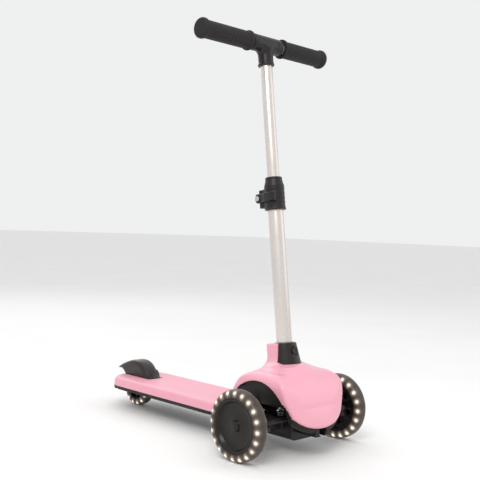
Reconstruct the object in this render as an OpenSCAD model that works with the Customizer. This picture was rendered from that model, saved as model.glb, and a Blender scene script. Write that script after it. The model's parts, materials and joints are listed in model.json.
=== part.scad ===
// Three-wheel lean-to-steer kick scooter for young children.
// Row frame: millimetres, +Z up, front towards -Y, origin at the bottom centre.

/* [Overall] */
// Distance from the front axle to the rear axle
wheelbase = 440; // [400:5:480]
// Distance between the two front wheels' centre planes
front_track = 262; // [230:2:290]
// Height of the standing surface above the floor
deck_top_z = 64; // [60:1:70]
// Half of the deck's width
deck_half_w = 60; // [52:1:66]
// Backward rake of the steering column in degrees
rake = 8; // [4:0.5:12]

/* [Wheels] */
// Front wheel diameter
front_d = 120; // [110:2:125]
// Rear wheel diameter
rear_d = 80; // [76:2:84]
// Width of every wheel
wheel_w = 24; // [22:1:26]
// Lights round each front wheel
front_leds = 20; // [12:1:24]
// Lights round the rear wheel
rear_leds = 14; // [8:1:18]

/* [T-bar] */
// Outer diameter of the lower tube
lower_tube_d = 28; // [26:0.5:30]
// Outer diameter of the upper tube
upper_tube_d = 22; // [20:0.5:24]
// Length from the socket's mouth to the handlebar's centre, along the column
bar_height = 550; // [500:5:620]
// Overall width of the handlebar with its grips
bar_width = 324; // [280:2:350]

/* [Body] */
// Wall thickness of the pink mouldings
skin = 3; // [2.4:0.1:3.6]
// Running clearance on radius for pins and tubes
run = 0.05; // [0.02:0.01:0.1]

/* [Hidden] */

// front axle position in the row frame; the front tongue and the mudguard tip end up symmetric about Y = 0
fy = -210.5;
fr = front_d / 2;
rr = rear_d / 2;
hx = front_track / 2;
kx = hx - 33;            // kingpin
lean_z = 46;             // lean axis height
rod_y = -34;             // tie rod, ahead of the kingpins
rod_z = 66;
dt = deck_top_z;
dw = deck_half_w;
deck_y0 = 137;
stem_y = 23;
stem_z = 185;
pin_y = 394;             // brake pivot
pin_z = 56.5;

pink = [0.96, 0.70, 0.74];
black = [0.08, 0.08, 0.085];
smoke = [0.20, 0.18, 0.18];
steel = [0.70, 0.70, 0.72];
silver = [0.82, 0.82, 0.84];
lamp = [1.0, 0.96, 0.90];

module L() { translate([0, fy, 0]) children(); }
module S() { L() translate([0, stem_y, stem_z]) rotate([-rake, 0, 0]) children(); }
module alongx(x0, x1, r) { translate([x0, 0, 0]) rotate([0, 90, 0]) cylinder(h = x1 - x0, r = r, $fn = 96); }
module alongy(y0, y1, r) { translate([0, y0, 0]) rotate([-90, 0, 0]) cylinder(h = y1 - y0, r = r, $fn = 96); }
// side profile (y, z) swept along X between x0 and x1
module sidex(x0, x1) { translate([x0, 0, 0]) rotate([90, 0, 90]) linear_extrude(x1 - x0) children(); }
// front profile (x, z) swept along Y between y0 and y1
module fronty(y0, y1) { translate([0, y1, 0]) rotate([90, 0, 0]) linear_extrude(y1 - y0) children(); }
function arc(cx, cy, r, a0, a1, n) = [for (i = [0:n]) let (a = a0 + (a1 - a0) * i / n) [cx + r * cos(a), cy + r * sin(a)]];
function ell(cx, cy, a_, b_, a0, a1, n) = [for (i = [0:n]) let (a = a0 + (a1 - a0) * i / n) [cx + a_ * cos(a), cy + b_ * sin(a)]];

// ---------- body envelope ----------
// side outline of the arch, inset by t: tongue, round arch, concave run down to the deck
module arch_side(t, low = 50) {
  polygon(concat(
    [[deck_y0, 40], [-79 + t, 40], [-79 + t, low + 8]],
    arc(6, 74, 74 - t, 170, 38, 30),
    arc(137, dt + 60, 60 + t, 218, 270, 12)));
}
// plan outline (x, y), inset by t
module arch_plan(t) {
  intersection() {
    translate([0, 45]) circle(r = 125 - t, $fn = 180);
    polygon([[-80 + t, -90], [80 - t, -90], [80 - t, 52], [78 - t, 66], [72 - t, 82], [65 - t, 96], [61 - t, 108], [dw - t, 120], [dw - t, deck_y0],
      [-dw + t, deck_y0], [-dw + t, 120], [-61 + t, 108], [-65 + t, 96], [-72 + t, 82], [-78 + t, 66], [-80 + t, 52]]);
  }
}
// front outline (x, z): rounded tongue below, soft shoulders above; dz lowers the tongue's edge
function tongue_half(t, dz) = concat(
  ell(0, 92 - dz, 73 - t, 42, 270, 330, 14),
  [[74 - t, 92 - dz], [77 - t, 101 - dz], [79.4 - t, 111 - dz / 2]],
  arc(57, 117, 23 - t, 0, 74, 10),
  [[46, 143 - t], [24, 147 - t], [0, 148 - t]]);
module tongue(t, dz) {
  h = tongue_half(t, dz);
  polygon(concat(h, [for (i = [len(h) - 2:-1:1]) [-h[i][0], h[i][1]]]));
}
module envelope(t, dz = 0) {
  intersection() {
    sidex(-90, 90) arch_side(t, 50 - dz);
    translate([0, 0, 30]) linear_extrude(130) arch_plan(t);
    union() {
      fronty(-95, 20) tongue(t, dz);
      fronty(20, 140) intersection() {
        union() { tongue(t, dz); translate([-85, 35]) square([170, 85]); }
        translate([-80 + t, 30]) square([160 - 2 * t, 130]);
      }
    }
  }
}
// side opening of the pink arch
module arch_gap() {
  polygon(concat(ell(12, 72, 62, 54, 180, 0, 28), [[84, 58], [96, 38], [-50, 38]]));
}
// plan of the deck with the rounded tail and the rear wheel's slot, inset by t
module deck_plan(t, y0 = deck_y0, slot = 19.5) {
  difference() {
    union() {
      translate([-dw + t, y0 + t]) square([2 * (dw - t), 436 - y0 - t]);
      translate([-18, y0 + t]) square([36, 478 - y0 - 2 * t]);
      for (s = [-1, 1]) translate([s * 18, 436]) circle(r = 42 - t, $fn = 120);
    }
    translate([-slot - t, 384 - t]) square([2 * (slot + t), 130]);
  }
}
module deck_section(t) {
  union() {
    translate([-dw + t, 30]) square([2 * (dw - t), dt - 6 - 30]);
    translate([-dw + 6, 30]) square([2 * (dw - 6), dt - t - 30]);
    for (s = [-1, 1]) translate([s * (dw - 6), dt - 6]) circle(r = 6 - t > 0.5 ? 6 - t : 0.5, $fn = 48);
  }
}
module tail_section() {
  union() {
    translate([100, 30]) square([368, dt - 30]);
    translate([100, 30]) square([380, dt - 42]);
    translate([468, dt - 12]) circle(r = 12, $fn = 64);
  }
}

// ---------- fixed body ----------
screw_pts = [[-46, 160], [46, 160], [-46, 270], [46, 270], [-40, 400], [40, 400]];

module chassis() color(black) L() {
  difference() {
    union() {
      // base tray and its inner walls
      translate([0, 0, 40]) linear_extrude(5.7) deck_plan(0, 118);
      translate([0, 0, 45]) linear_extrude(dt - 5 - 45) difference() { deck_plan(3.5, 139); deck_plan(6.5, 139); }
      for (y = [190, 240, 300, 350]) translate([-55, y, 45]) cube([110, 3, dt - 5 - 45]);
      for (x = [-22, 19]) translate([x, 140, 45]) cube([3, 224, dt - 5 - 45]);
      // low spine with the rear lean bearing
      translate([-26, 38, 38]) cube([52, 84, 10]);
      translate([-26, 32, 36]) cube([52, 9, 16]);
      translate([0, 0, lean_z]) alongy(32, 41, 11);
      // rear fork
      for (s = [-1, 1]) sidex(s > 0 ? 19.5 : -26, s > 0 ? 26 : -19.5) {
        translate([wheelbase, rr]) circle(r = 13, $fn = 64);
        translate([wheelbase - 13, rr]) square([26, dt - 5 - rr]);
        translate([370, 41]) square([64, dt - 5 - 41]);
      }
      // screw posts for the cowl
      for (s = [-1, 1]) translate([s * 44, 126, 40]) cylinder(h = 10, r = 6, $fn = 48);
    }
    // lean pivot hole
    translate([0, 0, lean_z]) alongy(20, 60, 5.02);
    translate([0, 0, lean_z]) alongy(41.1, 56, 9.5);
    // rear axle, head and nut pockets
    translate([0, wheelbase, rr]) alongx(-60, 60, 4.02);
    for (s = [-1, 1]) translate([s * 33.5 - 7.5, wheelbase - 10, 30]) cube([15, 20, 24]);
    // brake pin
    translate([0, pin_y, pin_z]) alongx(-30, 30, 3.02);
    // deck screws
    for (p = screw_pts) translate([p[0], p[1], 39]) { cylinder(h = 30, r = 2.3, $fn = 32); cylinder(h = 3.2, r = 4.6, $fn = 32); }
    for (p = screw_pts) translate([p[0], p[1], 46]) cylinder(h = 30, r = 5.3, $fn = 32);
    for (s = [-1, 1]) translate([s * 44, 126, 39]) { cylinder(h = 60, r = 2.05, $fn = 32); cylinder(h = 3.2, r = 4.6, $fn = 32); }
    // underside relief of the tray
    for (y = [150, 200, 255, 315]) translate([-15, y, 39]) cube([30, 34, 3]);
  }
}

// black lining of the arch: carries the socket, the spring seats, the front lean bearing and the steering peg
module arch_frame() color(black) L() {
  difference() {
    union() {
      // lining under the pink cowl, with the lip that shows below it
      difference() {
        envelope(skin + 0.4, 8);
        envelope(skin + 3.6, 8);
        sidex(-100, 100) polygon([[-48, 0], [-48, 88], [64, 88], [80, 66], [93, 40], [93, 0]]);
        fronty(-100, -20) translate([-100, 20]) square([200, 22]);
        translate([-100, 117.8, 0]) cube([200, 60, 46]);
        translate([-100, 136.6, 0]) cube([200, 60, 200]);
      }
      // front lean bearing, hung from the tongue lining
      translate([-18, -73.5, 37]) cube([36, 41.5, 12]);
      translate([0, 0, lean_z]) alongy(-41, -32, 11);
      translate([-13, -73.5, 37]) cube([26, 6.5, 16]);
      intersection() { envelope(skin + 0.5, 8); translate([-13, -74, 50]) cube([26, 9, 21]); }
      // peg that steers the tie rod
      translate([0, 0, rod_z]) alongy(-70, -29, 3);
      // core block that carries the socket and the spring seats
      intersection() { envelope(skin + 0.5, 8); translate([-38, -18, 97]) cube([76, 66, 60]); }
      intersection() { envelope(skin + 0.5, 8); union() for (s = [-1, 1]) translate([s * 50 - 2, -60, 97]) cube([4, 130, 60]); }
    }
    // socket sleeve seat
    translate([0, stem_y, stem_z]) rotate([-rake, 0, 0]) {
      translate([0, 0, -84.1]) cylinder(h = 120, r = 19.05, $fn = 96);
      difference() {
        translate([0, 0, -38.4]) cylinder(h = 60, r = 29, $fn = 96);
        translate([-40, -4, -60]) cube([80, 60, 100]);
      }
    }
    // room for the cowl's screw bosses
    for (s = [-1, 1]) translate([s * 44, 126, 40]) cylinder(h = 60, r = 5.4, $fn = 48);
    // lean pivot hole
    translate([0, 0, lean_z]) alongy(-60, -20, 5.02);
    translate([0, 0, lean_z]) alongy(-66, -41.1, 9.5);
  }
}

module deck_cover() color(pink) L() {
  difference() {
    intersection() {
      translate([0, 0, 46]) linear_extrude(40) deck_plan(0, deck_y0 + 0.3);
      fronty(100, 500) deck_section(0);
      sidex(-80, 80) tail_section();
    }
    intersection() {
      translate([0, 0, 40]) linear_extrude(dt - skin - 40) deck_plan(skin, deck_y0 + 0.3 - skin);
      fronty(100, 500) deck_section(skin);
    }
    // room for the fork and the brake pin
    translate([-26.4, 360, 40]) cube([52.8, 94.6, dt - skin - 40]);
    // two drainage grooves along each edge
    for (x = [-50, -44, 42.8, 48.8]) translate([x, 150, dt - 0.8]) cube([1.2, 205, 2]);
  }
  for (p = screw_pts) translate([p[0], p[1], 46.2]) difference() {
    cylinder(h = dt - skin + 0.2 - 46.2, r = 5, $fn = 32);
    translate([0, 0, -1]) cylinder(h = 13, r = 2.02, $fn = 32);
  }
}

module front_cowl() color(pink) L() {
  difference() {
    union() {
      envelope(0);
      // collar behind the column and its flare
      translate([0, stem_y, stem_z]) rotate([-rake, 0, 0]) {
        intersection() {
          translate([0, 0, -50]) linear_extrude(50) {
            translate([-24, -4]) square([48, 21]);
            translate([-14, -4]) square([28, 31]);
            for (s = [-1, 1]) translate([s * 14, 17]) circle(r = 10, $fn = 64);
          }
          translate([-50, -4, -60]) cube([100, 80, 60]);
        }
        intersection() {
          rotate_extrude($fn = 96) polygon(concat([[18, -58], [18, -18]], arc(56, -18, 34, 184, 262, 10), [[54, -58]]));
          translate([-60, -4, -56]) cube([120, 66, 60]);
        }
        rotate_extrude($fn = 96) polygon([[18, -54], [18, -37.6], [30, -37.6], [36, -39.6], [44, -43.6], [52, -50], [52, -54]]);
      }
    }
    // hollow, open along the lower edge
    envelope(skin, 8);
    translate([-dw + 3.2, 100, 30]) cube([2 * dw - 6.4, 60, dt - skin - 30]);
    sidex(-100, 100) arch_gap();
    translate([-100, 20, 20]) cube([200, 200, 26]);
    // socket seat
    translate([0, stem_y, stem_z]) rotate([-rake, 0, 0]) {
      translate([0, 0, -90]) cylinder(h = 120, r = 19.15, $fn = 96);
      difference() {
        translate([0, 0, -38.2]) cylinder(h = 60, r = 28.3, $fn = 96);
        translate([-40, -4, -60]) cube([80, 60, 100]);
      }
    }
    // tail end meets the deck cover
    translate([-100, deck_y0 - 0.1, 0]) cube([200, 60, 200]);
  }
  // screw bosses
  for (s = [-1, 1]) intersection() {
    envelope(1);
    translate([s * 44, 126, 0]) difference() {
      translate([0, 0, 50.3]) cylinder(h = 40, r = 5, $fn = 32);
      translate([0, 0, 40]) cylinder(h = 21, r = 2.02, $fn = 32);
    }
  }
}

module stem_socket() color(black) S() difference() {
  union() {
    translate([0, 0, -84]) cylinder(h = 84, r = 19, $fn = 96);
    intersection() {
      union() {
        translate([0, 0, -38]) cylinder(h = 38, r1 = 28, r2 = 21, $fn = 96);
      }
      translate([-40, -44, -60]) cube([80, 39.6, 70]);
    }
    translate([0, 0, -1.2]) cylinder(h = 2.2, r1 = 18.4, r2 = 16.4, $fn = 96);
  }
  translate([0, 0, -80]) cylinder(h = 100, r = lower_tube_d / 2 + run, $fn = 96);
  // button recess and guide
  translate([0, 0, -14]) alongy(-60, -22.2, 9);
  translate([0, 0, -14]) alongy(-40, -10, 6.6);
  // drain
  translate([0, 0, -90]) cylinder(h = 20, r = 4, $fn = 32);
}

module release_button() color(black) S() translate([0, 0, -14]) {
  alongy(-24, -17.4, 6.5);
  difference() { alongy(-25, -24, 6.5); alongy(-26, -24.4, 4.6); }
}

module screw(p, z, h, r = 2) translate([p[0], p[1], z]) {
  difference() { cylinder(h = 2.6, r = 4.2, $fn = 32); translate([0, 0, -1]) cylinder(h = 2.2, r = 2, $fn = 6); }
  translate([0, 0, 2.5]) cylinder(h = h - 2.5, r = r, $fn = 32);
}
module deck_screws() color(steel) L() for (p = screw_pts) screw(p, 39.5, 18);
module cowl_screws() color(steel) L() for (s = [-1, 1]) screw([s * 44, 126], 39.5, 20.5);

// ---------- front truck ----------
module lean_pivot_bolt() color(steel) L() translate([0, 0, lean_z]) {
  alongy(-44, 46.5, 5);
  rotate([0, 0, 0]) translate([0, -46.8, 0]) rotate([-90, 0, 0]) difference() {
    cylinder(h = 5.6, r = 8.5, $fn = 64);
    translate([0, 0, -1]) cylinder(h = 4, r = 3.4, $fn = 6);
  }
}
module lean_pivot_nut() color(steel) L() translate([0, 41.2, lean_z]) rotate([-90, 0, 0]) difference() {
  cylinder(h = 5.2, r = 8.6, $fn = 6);
  translate([0, 0, -1]) cylinder(h = 12, r = 5.02, $fn = 64);
}
module coil(r, wire, z0, z1, turns) {
  for (i = [0:turns - 1]) translate([0, 0, z0 + wire + (z1 - z0 - 2 * wire) * i / (turns - 1)])
    rotate_extrude($fn = 64) translate([r, 0]) circle(r = wire, $fn = 20);
  translate([r, 0, z0 + wire]) cylinder(h = z1 - z0 - 2 * wire, r = wire * 0.7, $fn = 20);
}
module centring_springs() color(steel) L() for (s = [-1, 1]) translate([s * 24, 0, 0]) coil(7.5, 1.5, 62.4, 96.8, 7);

module front_axle_beam() color(black) L() difference() {
  union() {
    fronty(-31.2, 31.6) {
      translate([-34, 36]) square([68, 26]);
      translate([-22, 24]) square([44, 38]);
      for (s = [-1, 1]) translate([s * 22, 36]) circle(r = 12, $fn = 64);
    }
    // arms
    for (s = [-1, 1]) {
      fronty(-9, 9) polygon([[s * 30, 42], [s * 30, 61.8], [s * 62, 69], [s * 84, 70], [s * (kx - 8.8), 76], [s * (kx - 8.8), 44], [s * 70, 48]]);
      for (z = [44, 70.4]) translate([0, 0, z]) linear_extrude(5.6) {
        translate([s * kx, 0]) circle(r = 10, $fn = 64);
        translate([s > 0 ? 84 : -kx, -9]) square([kx - 84, 18]);
      }
    }
    // ribs under the arms
    for (s = [-1, 1]) sidex(s > 0 ? 30 : -84, s > 0 ? 84 : -30) { translate([-1.5, 40]) square([3, 22]); }
  }
  translate([0, 0, lean_z]) alongy(-40, 40, 5 + run);
  for (s = [-1, 1]) translate([s * kx, 0, 0]) {
    translate([0, 0, 49.6]) cylinder(h = 20.8, r = 10.6, $fn = 64);
    translate([0, 0, 30]) cylinder(h = 60, r = 4.02, $fn = 64);
  }
  // weight-saving pockets in the block's underside and spring seats on top
  for (y = [-24, 8]) translate([-16, y, 20]) cube([32, 16, 14]);
  for (s = [-1, 1]) translate([s * 24, 0, 61.2]) cylinder(h = 3, r = 9.6, $fn = 64);
}
module kingpin(s) L() translate([s * kx, 0, 0]) {
  translate([0, 0, 41.6]) cylinder(h = 36, r = 4, $fn = 64);
  translate([0, 0, 76.05]) cylinder(h = 3, r = 6.5, $fn = 64);
  translate([0, 0, 40.9]) cylinder(h = 3, r = 6, $fn = 6);
}
module left_kingpin() color(steel) kingpin(1);
module right_kingpin() color(steel) kingpin(-1);

module tie_rod() color(black) L() difference() {
  union() {
    translate([-kx + 4, rod_y - 2.5, rod_z - 4]) cube([2 * kx - 8, 5, 8]);
    for (s = [-1, 1]) translate([s * kx, rod_y, rod_z - 4]) cylinder(h = 8, r = 6.5, $fn = 64);
    translate([-8, rod_y - 2.5, rod_z - 7]) cube([16, 5, 14]);
    translate([-kx + 12, rod_y - 4, rod_z - 1]) cube([2 * kx - 24, 8, 2]);
  }
  for (s = [-1, 1]) translate([s * kx, rod_y, rod_z - 10]) cylinder(h = 20, r = 3.6, $fn = 64);
  translate([0, 0, rod_z]) alongy(rod_y - 10, rod_y + 10, 3.1);
  translate([-3.1, rod_y - 10, rod_z - 0.6]) cube([6.2, 20, 1.2]);
  for (dz = [-0.6, 0.6]) translate([0, 0, rod_z + dz]) alongy(rod_y - 10, rod_y + 10, 3.1);
}
module knuckle(s) L() difference() {
  union() {
    translate([s * kx, 0, 50]) cylinder(h = 20, r = 9, $fn = 64);
    translate([s * kx, 0, 60]) rotate([0, s * 90, 0]) cylinder(h = hx - wheel_w / 2 - 0.4 - kx, r1 = 9, r2 = 7.2, $fn = 64);
    // steering arm
    translate([s * kx, 0, 52]) linear_extrude(8) {
      translate([-5, rod_y]) square([10, -rod_y]);
      translate([0, rod_y]) circle(r = 6, $fn = 48);
    }
    translate([s * kx, rod_y, 58]) cylinder(h = 13.4, r = 3, $fn = 48);
  }
  translate([s * kx, 0, 40]) cylinder(h = 40, r = 4 + run, $fn = 64);
  translate([s > 0 ? kx + 6.5 : -kx - 40, 0, fr]) alongx(0, 33.5, 4.02);
}
module left_knuckle() color(black) knuckle(1);
module right_knuckle() color(black) knuckle(-1);

// ---------- front wheels: drawn with the outside towards +X, mirrored for the other side ----------
module FW(s) { L() translate([0, 0, fr]) mirror([s > 0 ? 0 : 1, 0, 0]) translate([hx, 0, 0]) children(); }
module axle_bolt(s) FW(s) {
  alongx(-24, 3.6, 4);
  difference() { alongx(3.4, 7.3, 6.5); translate([4.8, 0, 0]) rotate([0, 90, 0]) cylinder(h = 6, r = 3, $fn = 6); }
}
module left_axle_bolt() color(steel) axle_bolt(1);
module right_axle_bolt() color(steel) axle_bolt(-1);
module revx() { rotate([0, 90, 0]) rotate_extrude($fn = 120) children(); }
module hub(s) FW(s) difference() {
  revx() polygon([[9, -12], [14, -12], [14.6, -3.5], [42, -4.5], [42.6, -11], [45.9, -11], [45.9, 11], [43.1, 11], [42.6, 0], [15, 0.5], [14, 3], [9, 3]]);
  alongx(-20, -5, 11);
  alongx(-4, 20, 11);
  // lightening windows seen from inside
  for (i = [0:5]) rotate([i * 60, 0, 0]) translate([-4.9, 0, 28]) alongx(0, 2, 8);
}
module left_hub() color(black) hub(1);
module right_hub() color(black) hub(-1);
module tyre_profile(r0, r1, w, c) {
  polygon(concat([[r0, -w], [r1 - c, -w]], arc(r1 - c, -w + c, c, 270, 360, 8), arc(r1 - c, w - c, c, 0, 90, 8), [[r0, w]]));
}
module tyre(s) FW(s) difference() {
  revx() tyre_profile(46, fr, wheel_w / 2, 8);
  // ring-shaped chamber for the lights
  revx() polygon([[40, 0.5], [52.9, 0.5], [52.9, 10.5], [40, 10.5]]);
}
module left_tyre() color(smoke) tyre(1);
module right_tyre() color(smoke) tyre(-1);
module lights(s) FW(s) {
  revx() polygon([[46, 1], [47.6, 1], [47.6, 10], [46, 10]]);
  for (i = [0:front_leds - 1]) rotate([i * 360 / front_leds, 0, 0]) translate([5.5, 0, 47]) { cylinder(h = 4, r = 2.3, $fn = 24); translate([0, 0, 4]) cylinder(h = 1.4, r1 = 2.3, r2 = 1.2, $fn = 24); }
}
module left_lights() color(lamp) lights(1);
module right_lights() color(lamp) lights(-1);
module bearing_at(x) revx() polygon([[4 + run, x + 0.05], [6.2, x + 0.05], [6.2, x + 0.7], [8.8, x + 0.7], [8.8, x + 0.05], [11, x + 0.05], [11, x + 6.95], [8.8, x + 6.95], [8.8, x + 6.3], [6.2, x + 6.3], [6.2, x + 6.95], [4 + run, x + 6.95]]);
module bearings(s) FW(s) { bearing_at(-12); bearing_at(-4); }
module left_bearings() color(steel) bearings(1);
module right_bearings() color(steel) bearings(-1);
module hub_cap(s) FW(s) revx() polygon([[0, 9.4], [4, 9.3], [7.8, 8.2], [7.8, 5], [10, 4.2], [36, 3.2], [41.2, 10], [43, 10], [43, 11.4], [45.6, 11.2], [45.6, 11.9], [40.4, 11.6], [35.4, 4.6], [10.6, 5.6], [9.4, 7], [9, 9], [4.4, 10.6], [0, 10.8]]);
module left_hub_cap() color(black) hub_cap(1);
module right_hub_cap() color(black) hub_cap(-1);

// ---------- rear wheel ----------
module RW() { L() translate([0, wheelbase, rr]) children(); }
module rear_hub() color(black) RW() difference() {
  revx() polygon([[9, -12], [13.6, -12], [14.6, -2.5], [24.4, -2.5], [25, -11], [27.9, -11], [27.9, 11], [25, 11], [24.4, 2.5], [14.6, 2.5], [13.6, 12], [9, 12]]);
  alongx(-20, -5, 11);
  alongx(5, 20, 11);
}
module rear_tyre() color(smoke) RW() difference() {
  revx() tyre_profile(28, rr, wheel_w / 2, 7);
  revx() polygon([[20, -5.5], [34.9, -5.5], [34.9, 5.5], [20, 5.5]]);
}
module rear_lights() color(lamp) RW() {
  revx() polygon([[28, -5], [29.6, -5], [29.6, 5], [28, 5]]);
  for (i = [0:rear_leds - 1]) rotate([i * 360 / rear_leds, 0, 0]) translate([0, 0, 29]) { cylinder(h = 4, r = 2.3, $fn = 24); translate([0, 0, 4]) cylinder(h = 1.4, r1 = 2.3, r2 = 1.2, $fn = 24); }
}
module rear_bearings() color(steel) RW() { bearing_at(-12); bearing_at(5); }
module rear_axle_bolt() color(steel) RW() {
  alongx(-26.5, 32.4, 4);
  difference() { alongx(-31, -26.1, 6.5); translate([-32, 0, 0]) rotate([0, 90, 0]) cylinder(h = 3.5, r = 3, $fn = 6); }
}
module rear_axle_nut() color(steel) RW() difference() {
  translate([26.1, 0, 0]) rotate([0, 90, 0]) cylinder(h = 5.6, r = 7, $fn = 6);
  alongx(20, 40, 4.02);
}
module rear_spacers() color(steel) RW() for (s = [-1, 1]) difference() {
  alongx(s > 0 ? 12.35 : -19.45, s > 0 ? 19.45 : -12.35, 6);
  alongx(-30, 30, 4.02);
}

// ---------- foot brake ----------
module fender_outer(t) {
  // side outline: flattened dome whose tail flicks back
  polygon(concat(
    arc(wheelbase, rr, 56.5 - t, 168, 72, 20),
    [[wheelbase + 36, 87 - t * 0.9], [wheelbase + 50, 80.5 - t * 0.9], [wheelbase + 60, 74.5 - t * 0.5], [wheelbase + 59.5, 71.8 + t * 0.2]],
    [[wheelbase + 46, 72.5 - t], [wheelbase + 36, 66 - t], [wheelbase + 30, 51.5]]));
}
module fender_brake() color(black) L() difference() {
  union() {
    difference() {
      intersection() {
        sidex(-18.3, 18.3) fender_outer(0);
        // crowned across its width
        fronty(370, 520) union() {
          translate([-18.3, 40]) square([36.6, 46]);
          translate([-18.3, 40]) polygon(concat([[0, 0], [36.6, 0]], [for (i = [0:12]) let (u = 1 - 2 * i / 12) [18.3 + 18.3 * u, 56.5 - 10.5 * pow(abs(u), 2.6)]]));
        }
      }
      // hollow round the tyre
      intersection() {
        sidex(-15.3, 15.3) union() {
          translate([wheelbase, rr]) circle(r = 50, $fn = 120);
          translate([wheelbase - 50, 20]) square([140, 20]);
        }
        translate([-20, 300, 20]) cube([40, 300, 70]);
      }
      // side walls stay above the axle and clear of the tyre's tail
      translate([-30, 300, 0]) cube([60, 300, 61.5]);
    }
    // hinge barrels
    for (s = [-1, 1]) translate([0, pin_y, pin_z]) alongx(s > 0 ? 8 : -18.3, s > 0 ? 18.3 : -8, 6);
    for (s = [-1, 1]) sidex(s > 0 ? 8 : -15.4, s > 0 ? 15.4 : -8) polygon([[pin_y - 4, pin_z + 3], [pin_y, pin_z + 16], [pin_y + 7, pin_z + 23], [pin_y + 5, pin_z + 1]]);
    // seat for the wear pad
    translate([-12, wheelbase - 16, 85.8]) cube([24, 30, 6]);
  }
  translate([0, pin_y, pin_z]) alongx(-30, 30, 3 + run);
  // room for the return spring
  translate([0, pin_y, pin_z]) alongx(-7.7, 7.7, 6.2);
  translate([0, wheelbase, rr]) alongx(-15.3, 15.3, 45.8);
}
module brake_pad() color(smoke) L() difference() {
  translate([-11, wheelbase - 14, 81]) cube([22, 24, 7]);
  translate([0, wheelbase, rr]) alongx(-20, 20, 43.4);
  difference() { translate([-20, wheelbase - 40, 76]) cube([40, 80, 20]); translate([0, wheelbase, rr]) alongx(-21, 21, 45.8); }
}
module brake_pin() color(steel) L() translate([0, pin_y, pin_z]) alongx(-26, 26, 3);
module brake_spring() color(steel) L() translate([0, pin_y, pin_z]) {
  for (i = [0:4]) translate([-4.4 + i * 2.2, 0, 0]) rotate([0, 90, 0]) rotate_extrude($fn = 48) translate([4.4, 0]) circle(r = 0.9, $fn = 16);
  translate([-4.4, 0, -4.4]) rotate([0, 90, 0]) cylinder(h = 8.8, r = 0.7, $fn = 16);
  translate([-4.4, 0, -4.4]) rotate([90, 0, 0]) cylinder(h = 9, r = 0.9, $fn = 16);
}

// ---------- T-bar ----------
lt = lower_tube_d / 2;
ut = upper_tube_d / 2;
clamp_w0 = 240;
clamp_top = 300;
module lower_tube() color(silver) S() difference() {
  translate([0, 0, -79.6]) cylinder(h = 79.6 + 282, r = lt, $fn = 96);
  translate([0, 0, -90]) cylinder(h = 500, r = lt - 1.5, $fn = 96);
  translate([0, 0, -14]) alongy(-20, 0, 4.02);
}
module latch_pin() color(steel) S() translate([0, 0, -14]) {
  alongy(-lt + 0.75, -8, 4);
  difference() { alongy(-9.2, -8, 6.6); }
}
module guide_bush() color(black) S() difference() {
  union() {
    translate([0, 0, 236]) cylinder(h = 46, r = lt - 1.52, $fn = 96);
    translate([0, 0, 282.05]) cylinder(h = 3, r = lt, $fn = 96);
    translate([0, 0, 281]) cylinder(h = 2, r = lt - 1.52, $fn = 96);
  }
  translate([0, 0, 200]) cylinder(h = 120, r = ut + run, $fn = 96);
}
module tube_clamp() color(black) S() difference() {
  union() {
    translate([0, 0, clamp_w0]) cylinder(h = 44, r = 18.5, $fn = 96);
    translate([0, 0, clamp_w0 + 44]) cylinder(h = 10, r1 = 18.5, r2 = 15.5, $fn = 96);
    translate([0, 0, clamp_w0 + 54]) cylinder(h = 6, r = 15.5, $fn = 96);
    translate([0, 0, clamp_w0 - 0]) cylinder(h = 3, r = 19.6, $fn = 96);
    // ears behind the tube
    translate([-9, 10, clamp_w0 + 6]) cube([18, 22, 34]);
    translate([-9, 24, clamp_w0 + 23]) alongx(0, 18, 9.5);
  }
  translate([0, 0, clamp_w0 - 1]) cylinder(h = 46.3, r = lt + 0.03, $fn = 96);
  translate([0, 0, clamp_w0 + 40]) cylinder(h = 30, r = ut + 0.6, $fn = 96);
  translate([-1.5, 8, clamp_w0 - 5]) cube([3, 40, 80]);
  translate([0, 24, clamp_w0 + 23]) alongx(-30, 30, 3.02);
}
module clamp_bolt() color(steel) S() translate([0, 24, clamp_w0 + 23]) {
  alongx(-20.5, 12, 3);
  difference() { alongx(9.1, 13, 6); translate([11, 0, 0]) rotate([0, 90, 0]) cylinder(h = 4, r = 2.5, $fn = 6); }
  alongx(-22, -20.4, 4.6);
}
// cam lever, turns about the bolt's eye on an axis parallel to the column
module clamp_lever() color(black) S() difference() {
  union() {
    translate([0, 24, clamp_w0 + 23]) {
      alongx(-19.8, -9.8, 8);
    }
    translate([0, 0, clamp_w0 + 15]) linear_extrude(16) polygon([[-19.8, 28], [-19.8, 16], [-24, 4], [-25.4, -10], [-24, -22], [-20.4, -21], [-21.2, -10], [-20.2, 3], [-15.5, 15], [-15, 28]]);
  }
  translate([0, 24, clamp_w0 + 23]) alongx(-30, 0, 3 + run);
}
module upper_tube() color(silver) S() difference() {
  translate([0, 0, 120]) cylinder(h = bar_height - 17 - 120, r = ut, $fn = 96);
  translate([0, 0, 100]) cylinder(h = 600, r = ut - 1.5, $fn = 96);
}
module t_junction() color(black) S() difference() {
  union() {
    translate([0, 0, bar_height]) alongx(-34, 34, 15.5);
    for (s = [-1, 1]) translate([0, 0, bar_height]) alongx(s > 0 ? 34 : -37, s > 0 ? 37 : -34, 14);
    translate([0, 0, bar_height - 41]) cylinder(h = 41, r = 14, $fn = 96);
    translate([0, 0, bar_height - 41]) cylinder(h = 4, r = 15.4, $fn = 96);
    translate([0, 0, bar_height - 26]) cylinder(h = 20, r1 = 14, r2 = 17.6, $fn = 96);
  }
  translate([0, 0, bar_height]) alongx(-60, 60, ut + 0.02);
  translate([0, 0, bar_height - 60]) cylinder(h = 60 - 16.8, r = ut + 0.02, $fn = 96);
  difference() { translate([-60, -60, bar_height - 30]) cube([120, 120, 60]); translate([-61, -17, bar_height - 62]) cube([122, 34, 77.5]); }
}
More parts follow.
